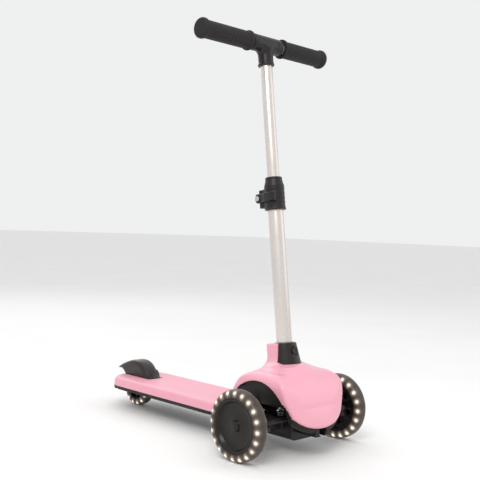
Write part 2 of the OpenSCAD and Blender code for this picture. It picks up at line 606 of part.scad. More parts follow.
module crossbar() color(silver) S() translate([0, 0, bar_height]) difference() {
  alongx(-bar_width / 2 + 4, bar_width / 2 - 4, ut);
  alongx(-bar_width, bar_width, ut - 1.5);
}
module grip(s) S() translate([0, 0, bar_height]) mirror([s > 0 ? 0 : 1, 0, 0]) difference() {
  revx() polygon(concat(
    [[0, bar_width / 2], [0, bar_width / 2 - 3.5], [ut + 0.03, bar_width / 2 - 3.5], [ut + 0.03, 42], [18, 42], [18.6, 43.5], [18.6, 46], [18, 47.5], [15.6, 48.5]],
    [for (i = [0:12]) each [[15.6, 50 + i * 7.6], [16.1, 51 + i * 7.6], [16.1, 55.6 + i * 7.6], [15.6, 56.6 + i * 7.6]]],
    [[15.6, 150], [17.6, 151.5], [18.4, 154], [18.4, bar_width / 2 - 4], [16, bar_width / 2 - 1]]));
}
module left_grip() color(black) grip(1);
module right_grip() color(black) grip(-1);

chassis();
arch_frame();
deck_cover();
front_cowl();
stem_socket();
release_button();
deck_screws();
cowl_screws();
lean_pivot_bolt();
lean_pivot_nut();
centring_springs();
front_axle_beam();
left_kingpin();
right_kingpin();
tie_rod();
left_knuckle();
right_knuckle();
left_axle_bolt();
right_axle_bolt();
left_hub();
right_hub();
left_tyre();
right_tyre();
left_lights();
right_lights();
left_bearings();
right_bearings();
left_hub_cap();
right_hub_cap();
rear_hub();
rear_tyre();
rear_lights();
rear_bearings();
rear_axle_bolt();
rear_axle_nut();
rear_spacers();
fender_brake();
brake_pad();
brake_pin();
brake_spring();
lower_tube();
latch_pin();
guide_bush();
tube_clamp();
clamp_bolt();
clamp_lever();
upper_tube();
t_junction();
crossbar();
left_grip();
right_grip();
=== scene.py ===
"""Kick scooter for young children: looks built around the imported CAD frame. Metres, row frame."""
import json
import math

import bmesh
import bpy
import numpy as np
from mathutils import Matrix, Vector

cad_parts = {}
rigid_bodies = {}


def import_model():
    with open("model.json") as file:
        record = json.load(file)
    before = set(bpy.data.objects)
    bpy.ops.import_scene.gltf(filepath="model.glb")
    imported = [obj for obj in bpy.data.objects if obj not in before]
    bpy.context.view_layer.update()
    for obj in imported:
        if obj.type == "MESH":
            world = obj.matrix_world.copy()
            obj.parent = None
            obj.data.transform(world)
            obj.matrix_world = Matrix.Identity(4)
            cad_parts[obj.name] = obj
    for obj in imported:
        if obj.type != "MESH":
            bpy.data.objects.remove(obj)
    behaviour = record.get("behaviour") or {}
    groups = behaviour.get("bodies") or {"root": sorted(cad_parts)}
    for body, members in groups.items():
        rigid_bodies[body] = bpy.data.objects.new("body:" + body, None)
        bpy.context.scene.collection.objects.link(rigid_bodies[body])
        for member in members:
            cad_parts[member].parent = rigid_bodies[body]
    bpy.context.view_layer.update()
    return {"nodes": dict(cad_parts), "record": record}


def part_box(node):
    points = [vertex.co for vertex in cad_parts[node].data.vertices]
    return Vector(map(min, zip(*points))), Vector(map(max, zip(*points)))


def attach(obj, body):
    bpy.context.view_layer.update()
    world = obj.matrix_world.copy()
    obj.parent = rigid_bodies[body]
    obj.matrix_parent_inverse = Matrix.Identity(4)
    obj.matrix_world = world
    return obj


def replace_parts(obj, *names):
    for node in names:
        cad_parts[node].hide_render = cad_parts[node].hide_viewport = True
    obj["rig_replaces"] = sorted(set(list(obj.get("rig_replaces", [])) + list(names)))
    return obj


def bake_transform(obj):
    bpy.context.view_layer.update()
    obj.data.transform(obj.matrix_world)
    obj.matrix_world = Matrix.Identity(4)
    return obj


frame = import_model()
NODES = frame["nodes"]
LO = {n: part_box(n)[0] for n in NODES}
HI = {n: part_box(n)[1] for n in NODES}

# ------------------------------------------------------------------ places, in millimetres, read from the frame
MM = 0.001


def mid(n):
    return (LO[n] + HI[n]) * 500.0


WF = mid("left_tyre")                    # front wheel centre, +X side
WR = mid("rear_tyre")
FY = float(WF.y)                         # row Y of the front axle
RF = float((HI["left_tyre"].z - LO["left_tyre"].z) * 500)
RR = float((HI["rear_tyre"].z - LO["rear_tyre"].z) * 500)
HX = float(WF.x)                         # half track
WB = float(WR.y) - FY                    # wheelbase
WW = float(HI["rear_tyre"].x) * 1000     # half width of a wheel
DT = float(HI["deck_cover"].z) * 1000    # deck top
DW = float(HI["deck_cover"].x) * 1000    # deck half width
DY0 = 137.0
RAKE = math.radians(8)
CR, SR = math.cos(RAKE), math.sin(RAKE)
STEM_Y, STEM_Z = 23.0, 185.0
KX = HX - 33.0
SKIN = 3.0

bpy.context.scene.render.film_transparent = False
bpy.context.scene.view_settings.view_transform = "Standard"

# ------------------------------------------------------------------ distance-field modelling (local mm: y is measured from the front axle)


def vw(y, z):
    """column coordinates: v across (to the rear), w along the column, from the socket's mouth"""
    a, b = y - STEM_Y, z - STEM_Z
    return a * CR - b * SR, a * SR + b * CR


def rmax(a, b, r):
    """intersection with a true fillet of radius r"""
    return np.minimum(np.maximum(a, b), -r) + np.hypot(np.maximum(a + r, 0), np.maximum(b + r, 0))


def rmin(a, b, r):
    """union with a true fillet of radius r"""
    return np.maximum(np.minimum(a, b), r) - np.hypot(np.maximum(r - a, 0), np.maximum(r - b, 0))


def smin(a, b, k):
    h = np.clip(0.5 + 0.5 * (b - a) / k, 0, 1)
    return b * (1 - h) + a * h - k * h * (1 - h)


def smax(a, b, k):
    return -smin(-a, -b, k)


def poly(u, v, pts):
    """signed distance to a closed polygon"""
    pts = [tuple(map(float, p)) for p in pts]
    d = None
    s = None
    n = len(pts)
    for i in range(n):
        ax, ay = pts[i]
        bx, by = pts[(i + 1) % n]
        ex, ey = bx - ax, by - ay
        L = ex * ex + ey * ey
        if L < 1e-9:
            continue
        wx, wy = u - ax, v - ay
        t = np.clip((wx * ex + wy * ey) / L, 0, 1)
        q = (wx - ex * t) ** 2 + (wy - ey * t) ** 2
        d = q if d is None else np.minimum(d, q)
        c1, c2, c3 = v >= ay, v < by, (ex * wy) > (ey * wx)
        flip = (c1 & c2 & c3) | (~c1 & ~c2 & ~c3)
        s = flip if s is None else s ^ flip
    return np.where(s, -1.0, 1.0) * np.sqrt(d)


def rbox(x, y, z, lo, hi, r=0.0):
    """rounded box"""
    c = [(a + b) / 2 for a, b in zip(lo, hi)]
    h = [(b - a) / 2 - r for a, b in zip(lo, hi)]
    qx, qy, qz = np.abs(x - c[0]) - h[0], np.abs(y - c[1]) - h[1], np.abs(z - c[2]) - h[2]
    out = np.sqrt(np.maximum(qx, 0) ** 2 + np.maximum(qy, 0) ** 2 + np.maximum(qz, 0) ** 2)
    return out + np.minimum(np.maximum(np.maximum(qx, qy), qz), 0) - r


def box2(u, v, lo, hi, r=0.0):
    qx = np.abs(u - (lo[0] + hi[0]) / 2) - (hi[0] - lo[0]) / 2 + r
    qy = np.abs(v - (lo[1] + hi[1]) / 2) - (hi[1] - lo[1]) / 2 + r
    return np.hypot(np.maximum(qx, 0), np.maximum(qy, 0)) + np.minimum(np.maximum(qx, qy), 0) - r


def cyl(rad, t, R, t0, t1, r=0.0):
    """cylinder: rad = distance from its axis, t = place along it"""
    return rmax(rad - R, np.maximum(t0 - t, t - t1), r) if r else np.maximum(rad - R, np.maximum(t0 - t, t - t1))


def arc(cx, cy, r, a0, a1, n):
    return [(cx + r * math.cos(math.radians(a0 + (a1 - a0) * i / n)), cy + r * math.sin(math.radians(a0 + (a1 - a0) * i / n))) for i in range(n + 1)]


def ell(cx, cy, a, b, a0, a1, n):
    return [(cx + a * math.cos(math.radians(a0 + (a1 - a0) * i / n)), cy + b * math.sin(math.radians(a0 + (a1 - a0) * i / n))) for i in range(n + 1)]


CORN = np.array([(0, 0, 0), (1, 0, 0), (0, 1, 0), (1, 1, 0), (0, 0, 1), (1, 0, 1), (0, 1, 1), (1, 1, 1)])
EDG = [(0, 1), (2, 3), (4, 5), (6, 7), (0, 2), (1, 3), (4, 6), (5, 7), (0, 4), (1, 5), (2, 6), (3, 7)]


def nets(f, lo, hi, h):
    """surface nets on a grid, then pulled onto the zero level of f; returns vertices (mm, local) and quads"""
    h = np.array(h if np.ndim(h) else (h, h, h), float)
    lo = np.array(lo, float) - 2 * h
    n = np.ceil((np.array(hi, float) + 2 * h - lo) / h).astype(int) + 1
    ax = [lo[i] + h[i] * np.arange(n[i]) + 1e-4 for i in range(3)]
    F = f(ax[0][:, None, None], ax[1][None, :, None], ax[2][None, None, :])
    F = np.ascontiguousarray(np.broadcast_to(F, tuple(n)), np.float64)
    S = F < 0
    cnt = sum(S[c[0]:n[0] - 1 + c[0], c[1]:n[1] - 1 + c[1], c[2]:n[2] - 1 + c[2]].astype(np.int8) for c in CORN)
    act = (cnt > 0) & (cnt < 8)
    I = np.argwhere(act)
    idx = -np.ones(act.shape, np.int64)
    idx[act] = np.arange(len(I))
    val = np.stack([F[I[:, 0] + c[0], I[:, 1] + c[1], I[:, 2] + c[2]] for c in CORN], 1)
    P = np.zeros((len(I), 3))
    m = np.zeros(len(I))
    for a, b in EDG:
        fa, fb = val[:, a], val[:, b]
        x = (fa < 0) != (fb < 0)
        t = np.where(x, fa / np.where(x, fa - fb, 1), 0)
        P += np.where(x[:, None], CORN[a] + t[:, None] * (CORN[b] - CORN[a]), 0)
        m += x
    P = lo + 1e-4 + (I + P / m[:, None]) * h
    Q = []
    for k in range(3):
        a, b = [(1, 2), (2, 0), (0, 1)][k]
        sl0 = [slice(1, n[i] - 1) for i in range(3)]
        sl1 = list(sl0)
        sl0[k] = slice(0, n[k] - 1)
        sl1[k] = slice(1, n[k])
        s0, s1 = S[tuple(sl0)], S[tuple(sl1)]
        E = np.argwhere(s0 != s1)
        if not len(E):
            continue
        up = s0[tuple(E.T)]
        off = np.array([1, 1, 1])
        off[k] = 0
        E = E + off
        da = np.zeros(3, int)
        da[a] = 1
        db = np.zeros(3, int)
        db[b] = 1
        q = np.stack([idx[tuple((E - da - db).T)], idx[tuple((E - db).T)], idx[tuple(E.T)], idx[tuple((E - da).T)]], 1)
        q[~up] = q[~up][:, ::-1]
        Q.append(q)
    Q = np.concatenate(Q)
    Q = Q[(Q >= 0).all(1)]
    # relax along the surface and pull back on to it
    e = np.concatenate([Q[:, [0, 1]], Q[:, [1, 2]], Q[:, [2, 3]], Q[:, [3, 0]]])
    e = np.concatenate([e, e[:, ::-1]])
    deg = np.maximum(np.bincount(e[:, 0], minlength=len(P)), 1)
    cap = 0.6 * float(h.min())

    def pull(P, times):
        for _ in range(times):
            d = 0.02
            x, y, z = P.T
            v = f(x, y, z)
            g = np.stack([f(x + d, y, z) - f(x - d, y, z), f(x, y + d, z) - f(x, y - d, z), f(x, y, z + d) - f(x, y, z - d)], 1) / (2 * d)
            s = -v[:, None] * g / np.maximum((g * g).sum(1), 0.2)[:, None]
            L = np.linalg.norm(s, axis=1)
            P = P + s * np.minimum(1, cap / np.maximum(L, 1e-9))[:, None]
        return P

    P = pull(P, 2)
    for _ in range(2):
        avg = np.stack([np.bincount(e[:, 0], weights=P[e[:, 1], i], minlength=len(P)) for i in range(3)], 1) / deg[:, None]
        P = pull(P + 0.5 * (avg - P), 1)
    P = pull(P, 1)
    return P, Q


def mesh_obj(name, P, faces, angle=None):
    me = bpy.data.meshes.new(name)
    me.from_pydata(np.asarray(P).tolist(), [], np.asarray(faces).tolist() if not isinstance(faces, list) else faces)
    me.validate()
    me.update()
    me.shade_smooth()
    if angle:
        me.set_sharp_from_angle(angle=math.radians(angle))
    o = bpy.data.objects.new(name, me)
    bpy.context.scene.collection.objects.link(o)
    return o


def field_piece(name, f, lo, hi, h, angle=None):
    """piece from a distance field in local mm"""
    P, Q = nets(f, lo, hi, h)
    P = P + np.array([0, FY, 0])
    return mesh_obj(name, P * MM, Q, angle)


def lathe(name, prof, axis="x", centre=(0, 0, 0), seg=128, flip=False, to_row=None, closed=True, angle=35):
    """revolve a closed profile [(t along the axis, radius)...]; profile points on the axis are merged"""
    V, F = [], []
    m = len(prof)
    ring = []
    for (t, r) in prof:
        t = -t if flip else t
        if r < 1e-6:
            ring.append([len(V)] * seg)
            V.append((t, 0.0, 0.0))
        else:
            b = len(V)
            for i in range(seg):
                a = 2 * math.pi * i / seg
                V.append((t, r * math.cos(a), r * math.sin(a)))
            ring.append(list(range(b, b + seg)))
    for j in range(m if closed else m - 1):
        A, B = ring[j], ring[(j + 1) % m]
        for i in range(seg):
            k = (i + 1) % seg
            f = [A[i], A[k], B[k], B[i]]
            g = []
            for q in f:
                if q not in g:
                    g.append(q)
            if len(g) >= 3:
                F.append(g)
    V = np.array(V)
    if axis == "z":
        V = V[:, [1, 2, 0]]
    if axis == "y":
        V = V[:, [2, 0, 1]]
    V = V + np.array(centre)
    if to_row is not None:
        V = to_row(V)
    o = mesh_obj(name, V * MM, F)
    bm = bmesh.new()
    bm.from_mesh(o.data)
    bmesh.ops.recalc_face_normals(bm, faces=bm.faces)
    bm.to_mesh(o.data)
    bm.free()
    o.data.shade_smooth()
    if angle:
        o.data.set_sharp_from_angle(angle=math.radians(angle))
    return o


def S2row(V):
    """column frame (x, v, w) to row mm"""
    x, v, w = V[:, 0], V[:, 1], V[:, 2]
    return np.stack([x, FY + STEM_Y + v * CR + w * SR, STEM_Z - v * SR + w * CR], 1)


def rounded(prof, r=0.6, n=3):
    """round every corner of a closed profile"""
    out = []
    m = len(prof)
    for i in range(m):
        p0, p, p1 = np.array(prof[i - 1], float), np.array(prof[i], float), np.array(prof[(i + 1) % m], float)
        if p[1] < 1e-6:
            out.append(tuple(p))
            continue
        a, b = p0 - p, p1 - p
        la, lb = np.linalg.norm(a), np.linalg.norm(b)
        if la < 1e-6 or lb < 1e-6:
            continue
        ca = np.dot(a, b) / la / lb
        if ca < -0.97:
            out.append(tuple(p))
            continue
        d = min(r, la * 0.45, lb * 0.45)
        A, B = p + a / la * d, p + b / lb * d
        for k in range(n + 1):
            t = k / n
            out.append(tuple((1 - t) ** 2 * A + 2 * t * (1 - t) * p + t * t * B))
    return out


def join(name, objs):
    """one object out of several"""
    bm = bmesh.new()
    for o in objs:
        me = o.data
        bm.from_mesh(me)
    me = bpy.data.meshes.new(name)
    bm.to_mesh(me)
    bm.free()
    for o in objs:
        bpy.data.objects.remove(o)
    o = bpy.data.objects.new(name, me)
    bpy.context.scene.collection.objects.link(o)
    me.shade_smooth()
    me.set_sharp_from_angle(angle=math.radians(35))
    return o


# ------------------------------------------------------------------ materials


class G:
    """small helper to write node graphs"""

    def __init__(self, name, color):
        self.m = bpy.data.materials.new(name)
        self.m.use_nodes = True
        self.t = self.m.node_tree
        self.b = self.t.nodes["Principled BSDF"]
        self.m.diffuse_color = (*color[:3], 1)
        self.tc = self.t.nodes.new("ShaderNodeTexCoord")
        self.P = self.tc.outputs["Object"]

    def link(self, a, b):
        self.t.links.new(a, b)

    def math(self, op, a, b=None, c=None, clamp=False):
        n = self.t.nodes.new("ShaderNodeMath")
        n.operation = op
        n.use_clamp = clamp
        for i, v in enumerate((a, b, c)):
            if v is None:
                continue
            if isinstance(v, (int, float)):
                n.inputs[i].default_value = v
            else:
                self.link(v, n.inputs[i])
        return n.outputs[0]

    def noise(self, scale, detail=3, rough=0.5, vec=None, dist=0.0, stretch=None):
        n = self.t.nodes.new("ShaderNodeTexNoise")
        n.inputs["Scale"].default_value = scale
        n.inputs["Detail"].default_value = detail
        n.inputs["Roughness"].default_value = rough
        n.inputs["Distortion"].default_value = dist
        v = vec or self.P
        if stretch:
            mp = self.t.nodes.new("ShaderNodeMapping")
            mp.inputs["Scale"].default_value = stretch
            self.link(v, mp.inputs["Vector"])
            v = mp.outputs[0]
        self.link(v, n.inputs["Vector"])
        return n.outputs["Fac"]

    def ramp(self, x, lo, hi, a=0.0, b=1.0):
        n = self.t.nodes.new("ShaderNodeMapRange")
        n.clamp = True
        self.link(x, n.inputs["Value"])
        n.inputs["From Min"].default_value = lo
        n.inputs["From Max"].default_value = hi
        n.inputs["To Min"].default_value = a
        n.inputs["To Max"].default_value = b
        return n.outputs[0]

    def mix(self, fac, a, b):
        n = self.t.nodes.new("ShaderNodeMix")
        n.data_type = "RGBA"
        n.clamp_factor = True
        if isinstance(fac, (int, float)):
            n.inputs["Factor"].default_value = fac
        else:
            self.link(fac, n.inputs["Factor"])
        for s, v in ((n.inputs[6], a), (n.inputs[7], b)):
            if isinstance(v, tuple):
                s.default_value = (*v[:3], 1)
            else:
                self.link(v, s)
        return n.outputs[2]

    def bump(self, h, strength, dist, normal=None):
        n = self.t.nodes.new("ShaderNodeBump")
        n.inputs["Strength"].default_value = strength
        n.inputs["Distance"].default_value = dist
        self.link(h, n.inputs["Height"])
        if normal is not None:
            self.link(normal, n.inputs["Normal"])
        return n.outputs[0]

    def pointy(self, lo, hi):
        n = self.t.nodes.new("ShaderNodeNewGeometry")
        return self.ramp(n.outputs["Pointiness"], lo, hi)

    def xyz(self):
        n = self.t.nodes.new("ShaderNodeSeparateXYZ")
        self.link(self.P, n.inputs[0])
        return n.outputs[0], n.outputs[1], n.outputs[2]


def tint(c, f):
    return tuple(min(1.0, max(0.0, x * f)) for x in c[:3])


def plastic(name, color, rough=0.35, vary=0.05, grain=0.15, grain_scale=1800, coat=0.0, wear=0.35, spec=0.5, sss=0.0, wear_tint=1.35, flow=0.0):
    """moulded plastic: slight colour drift, fine moulded grain, rubbed edges, faint handling marks in the gloss"""
    g = G(name, color)
    b = g.b
    b.inputs["Specular IOR Level"].default_value = spec
    b.inputs["Coat Weight"].default_value = coat
    b.inputs["Coat Roughness"].default_value = 0.12
    if sss:
        b.inputs["Subsurface Weight"].default_value = sss
        b.inputs["Subsurface Scale"].default_value = 0.004
        b.inputs["Subsurface Radius"].default_value = (1.0, 0.45, 0.35)
    big = g.noise(14, 3, 0.55)
    c = g.mix(g.ramp(big, 0.3, 0.7), tint(color, 1 - vary), tint(color, 1 + vary))
    speck = g.noise(420, 2, 0.6)
    c = g.mix(g.ramp(speck, 0.62, 0.8, 0, 0.25), c, tint(color, 1 - 2.5 * vary))
    if wear:
        e = g.math("MULTIPLY", g.pointy(0.515, 0.56), g.ramp(g.noise(90, 4, 0.65), 0.42, 0.62))
        c = g.mix(g.math("MULTIPLY", e, wear), c, tuple(min(1, x * wear_tint + 0.03) for x in color[:3]))
    g.link(c, b.inputs["Base Color"])
    r1 = g.ramp(g.noise(9, 3, 0.6), 0.3, 0.7, rough * 0.88, rough * 1.14)
    sm = g.ramp(g.noise(30, 4, 0.7, dist=1.2, stretch=(1.0, 0.35, 1.0)), 0.56, 0.74, 0, 0.10)
    g.link(g.math("ADD", r1, sm, clamp=True), b.inputs["Roughness"])
    n = g.bump(g.noise(grain_scale, 2, 0.5), grain, 0.00012)
    n = g.bump(g.noise(55, 2, 0.5), 0.06, 0.0006, n)
    g.link(n, b.inputs["Normal"])
    return g.m


def metal(name, color, rough=0.25, brushed=0.2, stretch=(1, 1, 0.02), vary=0.04, metallic=1.0, grime=0.25):
    g = G(name, color)
    b = g.b
    b.inputs["Metallic"].default_value = metallic
    fine = g.noise(900, 3, 0.6, stretch=stretch)
    big = g.noise(18, 3, 0.5)
    c = g.mix(g.ramp(big, 0.3, 0.7), tint(color, 1 - vary), tint(color, 1 + vary))
    c = g.mix(g.ramp(g.noise(60, 4, 0.7), 0.6, 0.85, 0, grime), c, tint(color, 0.6))
    g.link(c, b.inputs["Base Color"])
    g.link(g.math("ADD", g.ramp(fine, 0.3, 0.7, rough * 0.8, rough * 1.2), g.ramp(g.noise(25, 4, 0.65), 0.5, 0.75, 0, 0.12)), b.inputs["Roughness"])
    g.link(g.bump(fine, brushed, 0.00008), b.inputs["Normal"])
    return g.m


def tyre_material(name, centre, R, n_led, rc, uc, sigma):
    """smoky cast polyurethane with a ring of lights glowing through it; centre in row mm"""
    col = (0.016, 0.0115, 0.0095)
    g = G(name, col)
    b = g.b
    x, y, z = g.xyz()
    u = g.math("MULTIPLY_ADD", x, 1000.0, -float(centre[0]))
    p = g.math("MULTIPLY_ADD", y, 1000.0, -float(centre[1]))
    q = g.math("MULTIPLY_ADD", z, 1000.0, -float(centre[2]))
    rad = g.math("SQRT", g.math("ADD", g.math("MULTIPLY", p, p), g.math("MULTIPLY", q, q)))
    th = g.math("ARCTAN2", q, p)
    k = g.math("MULTIPLY", th, n_led / (2 * math.pi))
    fr = g.math("SUBTRACT", k, g.math("ROUND", k))
    loc = g.math("MULTIPLY", g.math("MULTIPLY", fr, 2 * math.pi / n_led), rad)
    du = g.math("SUBTRACT", g.math("ABSOLUTE", u), uc)
    dr = g.math("SUBTRACT", rad, rc)
    sq = lambda v: g.math("MULTIPLY", v, v)
    side = g.math("ADD", sq(du), sq(dr))
    d2 = g.math("ADD", sq(loc), side)
    core = g.math("EXPONENT", g.math("MULTIPLY", d2, -1.0 / (sigma * sigma)))
    halo = g.math("EXPONENT", g.math("MULTIPLY", d2, -1.0 / (2.0 * sigma) ** 2))
    band = g.math("EXPONENT", g.math("MULTIPLY", side, -1.0 / 40.0))
    cloud = g.ramp(g.noise(26, 3, 0.6), 0.3, 0.7, 0.82, 1.18)
    edge = g.ramp(rad, R - 9, R, 0.0, 1.0)
    c = g.mix(g.math("MULTIPLY", band, 0.35), col, (0.075, 0.055, 0.044))
    c = g.mix(g.math("MULTIPLY", edge, 0.35), c, (0.095, 0.074, 0.064))
    c = g.mix(g.ramp(g.noise(300, 3, 0.7), 0.55, 0.8, 0, 0.35), c, (0.010, 0.008, 0.007))
    g.link(c, b.inputs["Base Color"])
    glow = g.math("ADD", g.math("MULTIPLY", core, 1.25), g.math("MULTIPLY", halo, 0.16))
    # the light that each lamp spreads inwards through the cast
    beam = g.math("MULTIPLY", g.math("EXPONENT", g.math("MULTIPLY", sq(loc), -1.0 / 10.0)), g.ramp(rad, rc - 9.0, rc, 0.0, 0.34))
    beam = g.math("MULTIPLY", beam, g.ramp(rad, rc, rc + 2.5, 1.0, 0.0))
    glow = g.math("ADD", glow, g.math("MULTIPLY", beam, g.ramp(g.math("ABSOLUTE", u), 7.0, 11.0, 0.0, 1.0)))
    glow = g.math("ADD", glow, g.math("MULTIPLY", band, 0.018))
    g.link(g.mix(core, (1.0, 0.80, 0.62), (1.0, 0.955, 0.89)), b.inputs["Emission Color"])
    g.link(g.math("MULTIPLY", glow, cloud), b.inputs["Emission Strength"])
    b.inputs["Specular IOR Level"].default_value = 0.30
    b.inputs["Coat Weight"].default_value = 0.10
    b.inputs["Coat Roughness"].default_value = 0.18
    g.link(g.ramp(g.noise(40, 4, 0.6), 0.3, 0.75, 0.30, 0.46), b.inputs["Roughness"])
    n = g.bump(g.noise(1500, 2, 0.5), 0.12, 0.0001)
    # fine scuffs round the running surface
    n = g.bump(g.noise(220, 3, 0.6, stretch=(1.0, 0.4, 0.4)), 0.10, 0.0002, n)
    g.link(n, b.inputs["Normal"])
    return g.m


PINK = (0.80, 0.365, 0.45)
BLK = (0.0095, 0.0075, 0.007)
M = {
    "pink_cowl": plastic("pink_cowl_finish", PINK, 0.30, 0.022, 0.08, 1500, coat=0.30, wear=0.25, sss=0.0, wear_tint=1.15),
    "pink_deck": plastic("pink_deck_finish", PINK, 0.38, 0.025, 0.22, 900, coat=0.05, wear=0.30, sss=0.0, wear_tint=1.15),
    "black_body": plastic("black_body_finish", BLK, 0.46, 0.12, 0.30, 1100, wear=0.4, wear_tint=2.6, spec=0.30),
    "black_socket": plastic("black_socket_finish", (0.011, 0.008, 0.007), 0.30, 0.10, 0.15, 1300, coat=0.15, wear=0.4, wear_tint=2.6, spec=0.32),
    "black_button": plastic("black_button_finish", (0.010, 0.008, 0.008), 0.34, 0.10, 0.2, 1500, wear=0.5, wear_tint=2.8, spec=0.40),
    "black_truck": plastic("black_truck_finish", (0.011, 0.009, 0.0085), 0.42, 0.12, 0.3, 900, wear=0.4, wear_tint=2.4, spec=0.32),
    "black_hub": plastic("black_hub_finish", (0.009, 0.007, 0.0065), 0.36, 0.10, 0.18, 1200, wear=0.35, wear_tint=2.4, spec=0.28),
    "black_cap": plastic("black_cap_finish", (0.0095, 0.0060, 0.0050), 0.30, 0.08, 0.05, 1500, coat=0.08, wear=0.25, wear_tint=2.2, spec=0.25),
    "black_fender": plastic("black_fender_finish", (0.016, 0.0105, 0.010), 0.26, 0.10, 0.08, 1200, coat=0.25, wear=0.4, wear_tint=2.2, spec=0.35),
    "black_bush": plastic("black_bush_finish", (0.03, 0.03, 0.03), 0.40, 0.08, 0.2, 1400, wear=0.3),
    "black_clamp": plastic("black_clamp_finish", (0.012, 0.010, 0.0095), 0.34, 0.10, 0.22, 1100, wear=0.4, wear_tint=2.6, spec=0.34),
    "black_tee": plastic("black_tee_finish", (0.012, 0.010, 0.0095), 0.34, 0.10, 0.22, 1100, wear=0.4, wear_tint=2.6, spec=0.34),
    "pad_rubber": plastic("pad_rubber_finish", (0.03, 0.03, 0.03), 0.7, 0.15, 0.6, 700, wear=0.3),
    "black_grip": plastic("black_grip_finish", (0.013, 0.0115, 0.011), 0.60, 0.12, 0.45, 800, wear=0.4, wear_tint=2.2, spec=0.32),
    "silver_tube": metal("silver_tube_finish", (0.70, 0.645, 0.605), 0.30, 0.025, (1, 1, 0.004), 0.015, 0.80, grime=0.02),
    "steel_fasteners": metal("steel_fasteners_finish", (0.60, 0.60, 0.62), 0.28, 0.25, (1, 1, 1)),
    "steel_screws": metal("steel_screws_finish", (0.56, 0.56, 0.58), 0.32, 0.25, (1, 1, 1)),
    "spring_steel": metal("spring_steel_finish", (0.42, 0.42, 0.45), 0.30, 0.2, (1, 1, 1)),
    "bearing_steel": metal("bearing_steel_finish", (0.70, 0.70, 0.72), 0.15, 0.1, (0.1, 1, 1)),
}
lg = G("light_ring_finish", (1.0, 0.95, 0.88))
lg.b.inputs["Emission Strength"].default_value = 1.2
lg.link(lg.mix(lg.ramp(lg.noise(200, 3, 0.6), 0.3, 0.7), (1.0, 0.93, 0.84), (1.0, 0.97, 0.92)), lg.b.inputs["Emission Color"])
lg.link(lg.mix(lg.ramp(lg.noise(90, 3, 0.6), 0.3, 0.7), (0.90, 0.86, 0.80), (0.96, 0.93, 0.88)), lg.b.inputs["Base Color"])
lg.link(lg.ramp(lg.noise(120, 3, 0.6), 0.3, 0.7, 0.15, 0.3), lg.b.inputs["Roughness"])
M["light_ring"] = lg.m

N_FRONT, N_REAR = 20, 14
C_LEFT = np.array([HX, FY, RF])
C_RIGHT = np.array([-HX, FY, RF])
C_REAR = np.array([0.0, FY + WB, RR])
T_LEFT = tyre_material("left_tyre_finish", C_LEFT, RF, N_FRONT, 55.2, 11.0, 2.9)
T_RIGHT = tyre_material("right_tyre_finish", C_RIGHT, RF, N_FRONT, 55.2, 11.0, 2.9)
T_REAR = tyre_material("rear_tyre_finish", C_REAR, RR, N_REAR, 35.6, 11.0, 2.3)

SLOT = {s["node"]: s["material_slot"] for s in frame["record"]["subparts"]}
BODY = {n: b for b, ns in frame["record"]["behaviour"]["bodies"].items() for n in ns}

for n, o in NODES.items():
    mt = {"left_tyre": T_LEFT, "right_tyre": T_RIGHT, "rear_tyre": T_REAR}.get(n) or M[SLOT[n]]
    o.data.materials.clear()
    o.data.materials.append(mt)


def fit(piece, node, mat=None, more=()):
    """piece takes the place, body, slot and finish of a CAD node"""
    mt = mat or {"left_tyre": T_LEFT, "right_tyre": T_RIGHT, "rear_tyre": T_REAR}.get(node) or M[SLOT[node]]
    piece.data.materials.clear()
    piece.data.materials.append(mt)
    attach(piece, BODY[node])
    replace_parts(piece, node, *more)
    return piece


# ------------------------------------------------------------------ pink mouldings


def arch_side(t=0.0, low=50.0):
    return [(DY0 + 30, DT), (DY0 + 30, 30), (-79 + t, 30), (-79 + t, low + 8)] + arc(6, 74, 74 - t, 170, 38, 44) + arc(137, DT + 60, 60 + t, 218, 270, 24)


PLAN = [(-80, -100), (80, -100), (80, 46), (79.4, 56), (78, 66), (75.4, 74), (72, 82), (68.6, 89), (65, 96), (62.6, 102), (61, 108), (60.2, 114), (DW, 120), (DW, 170)]
PLAN = PLAN + [(-x, y) for x, y in PLAN[::-1] if y > -100][:-1] + [(-80, 46)]


def tongue_pts(dz=0.0, lip=0.0):
    h = ell(0, 92 - dz, 73, 42 + lip, 270, 330, 20) + [(74, 92 - dz), (75.8, 96.5 - dz), (77, 101 - dz), (78.4, 106 - dz * 0.8), (79.4, 111 - dz / 2)] + arc(57, 117, 23, 0, 74, 14) + [(46, 143), (24, 147), (0, 148)]
    return h + [(-x, z) for x, z in h[-2:0:-1]]


TONGUE = tongue_pts()
GAP = ell(12, 72, 62, 54, 180, 0, 40) + [(84, 58), (96, 38), (96, 10), (-50, 10), (-50, 38)]
SIDE = arch_side()


def cowl_outer(x, y, z, dz=0.0, lip=0.0):
    side = poly(y, z, SIDE if dz == 0 else arch_side(0, 50 - dz))
    circle = np.hypot(x, y - 45) - 125
    plan = poly(x, y, PLAN)
    T = poly(x, z, TONGUE if dz == 0 else tongue_pts(dz, lip))
    B = box2(x, z, (-86, 10), (86, 120))
    s = np.clip((y - 4) / 30, 0, 1)
    s = s * s * (3 - 2 * s)
    front = T + (np.minimum(T, B) - T) * s
    o = smax(side, circle, 12)
    o = rmax(o, plan, 5.5)
    return smax(o, front, 7)


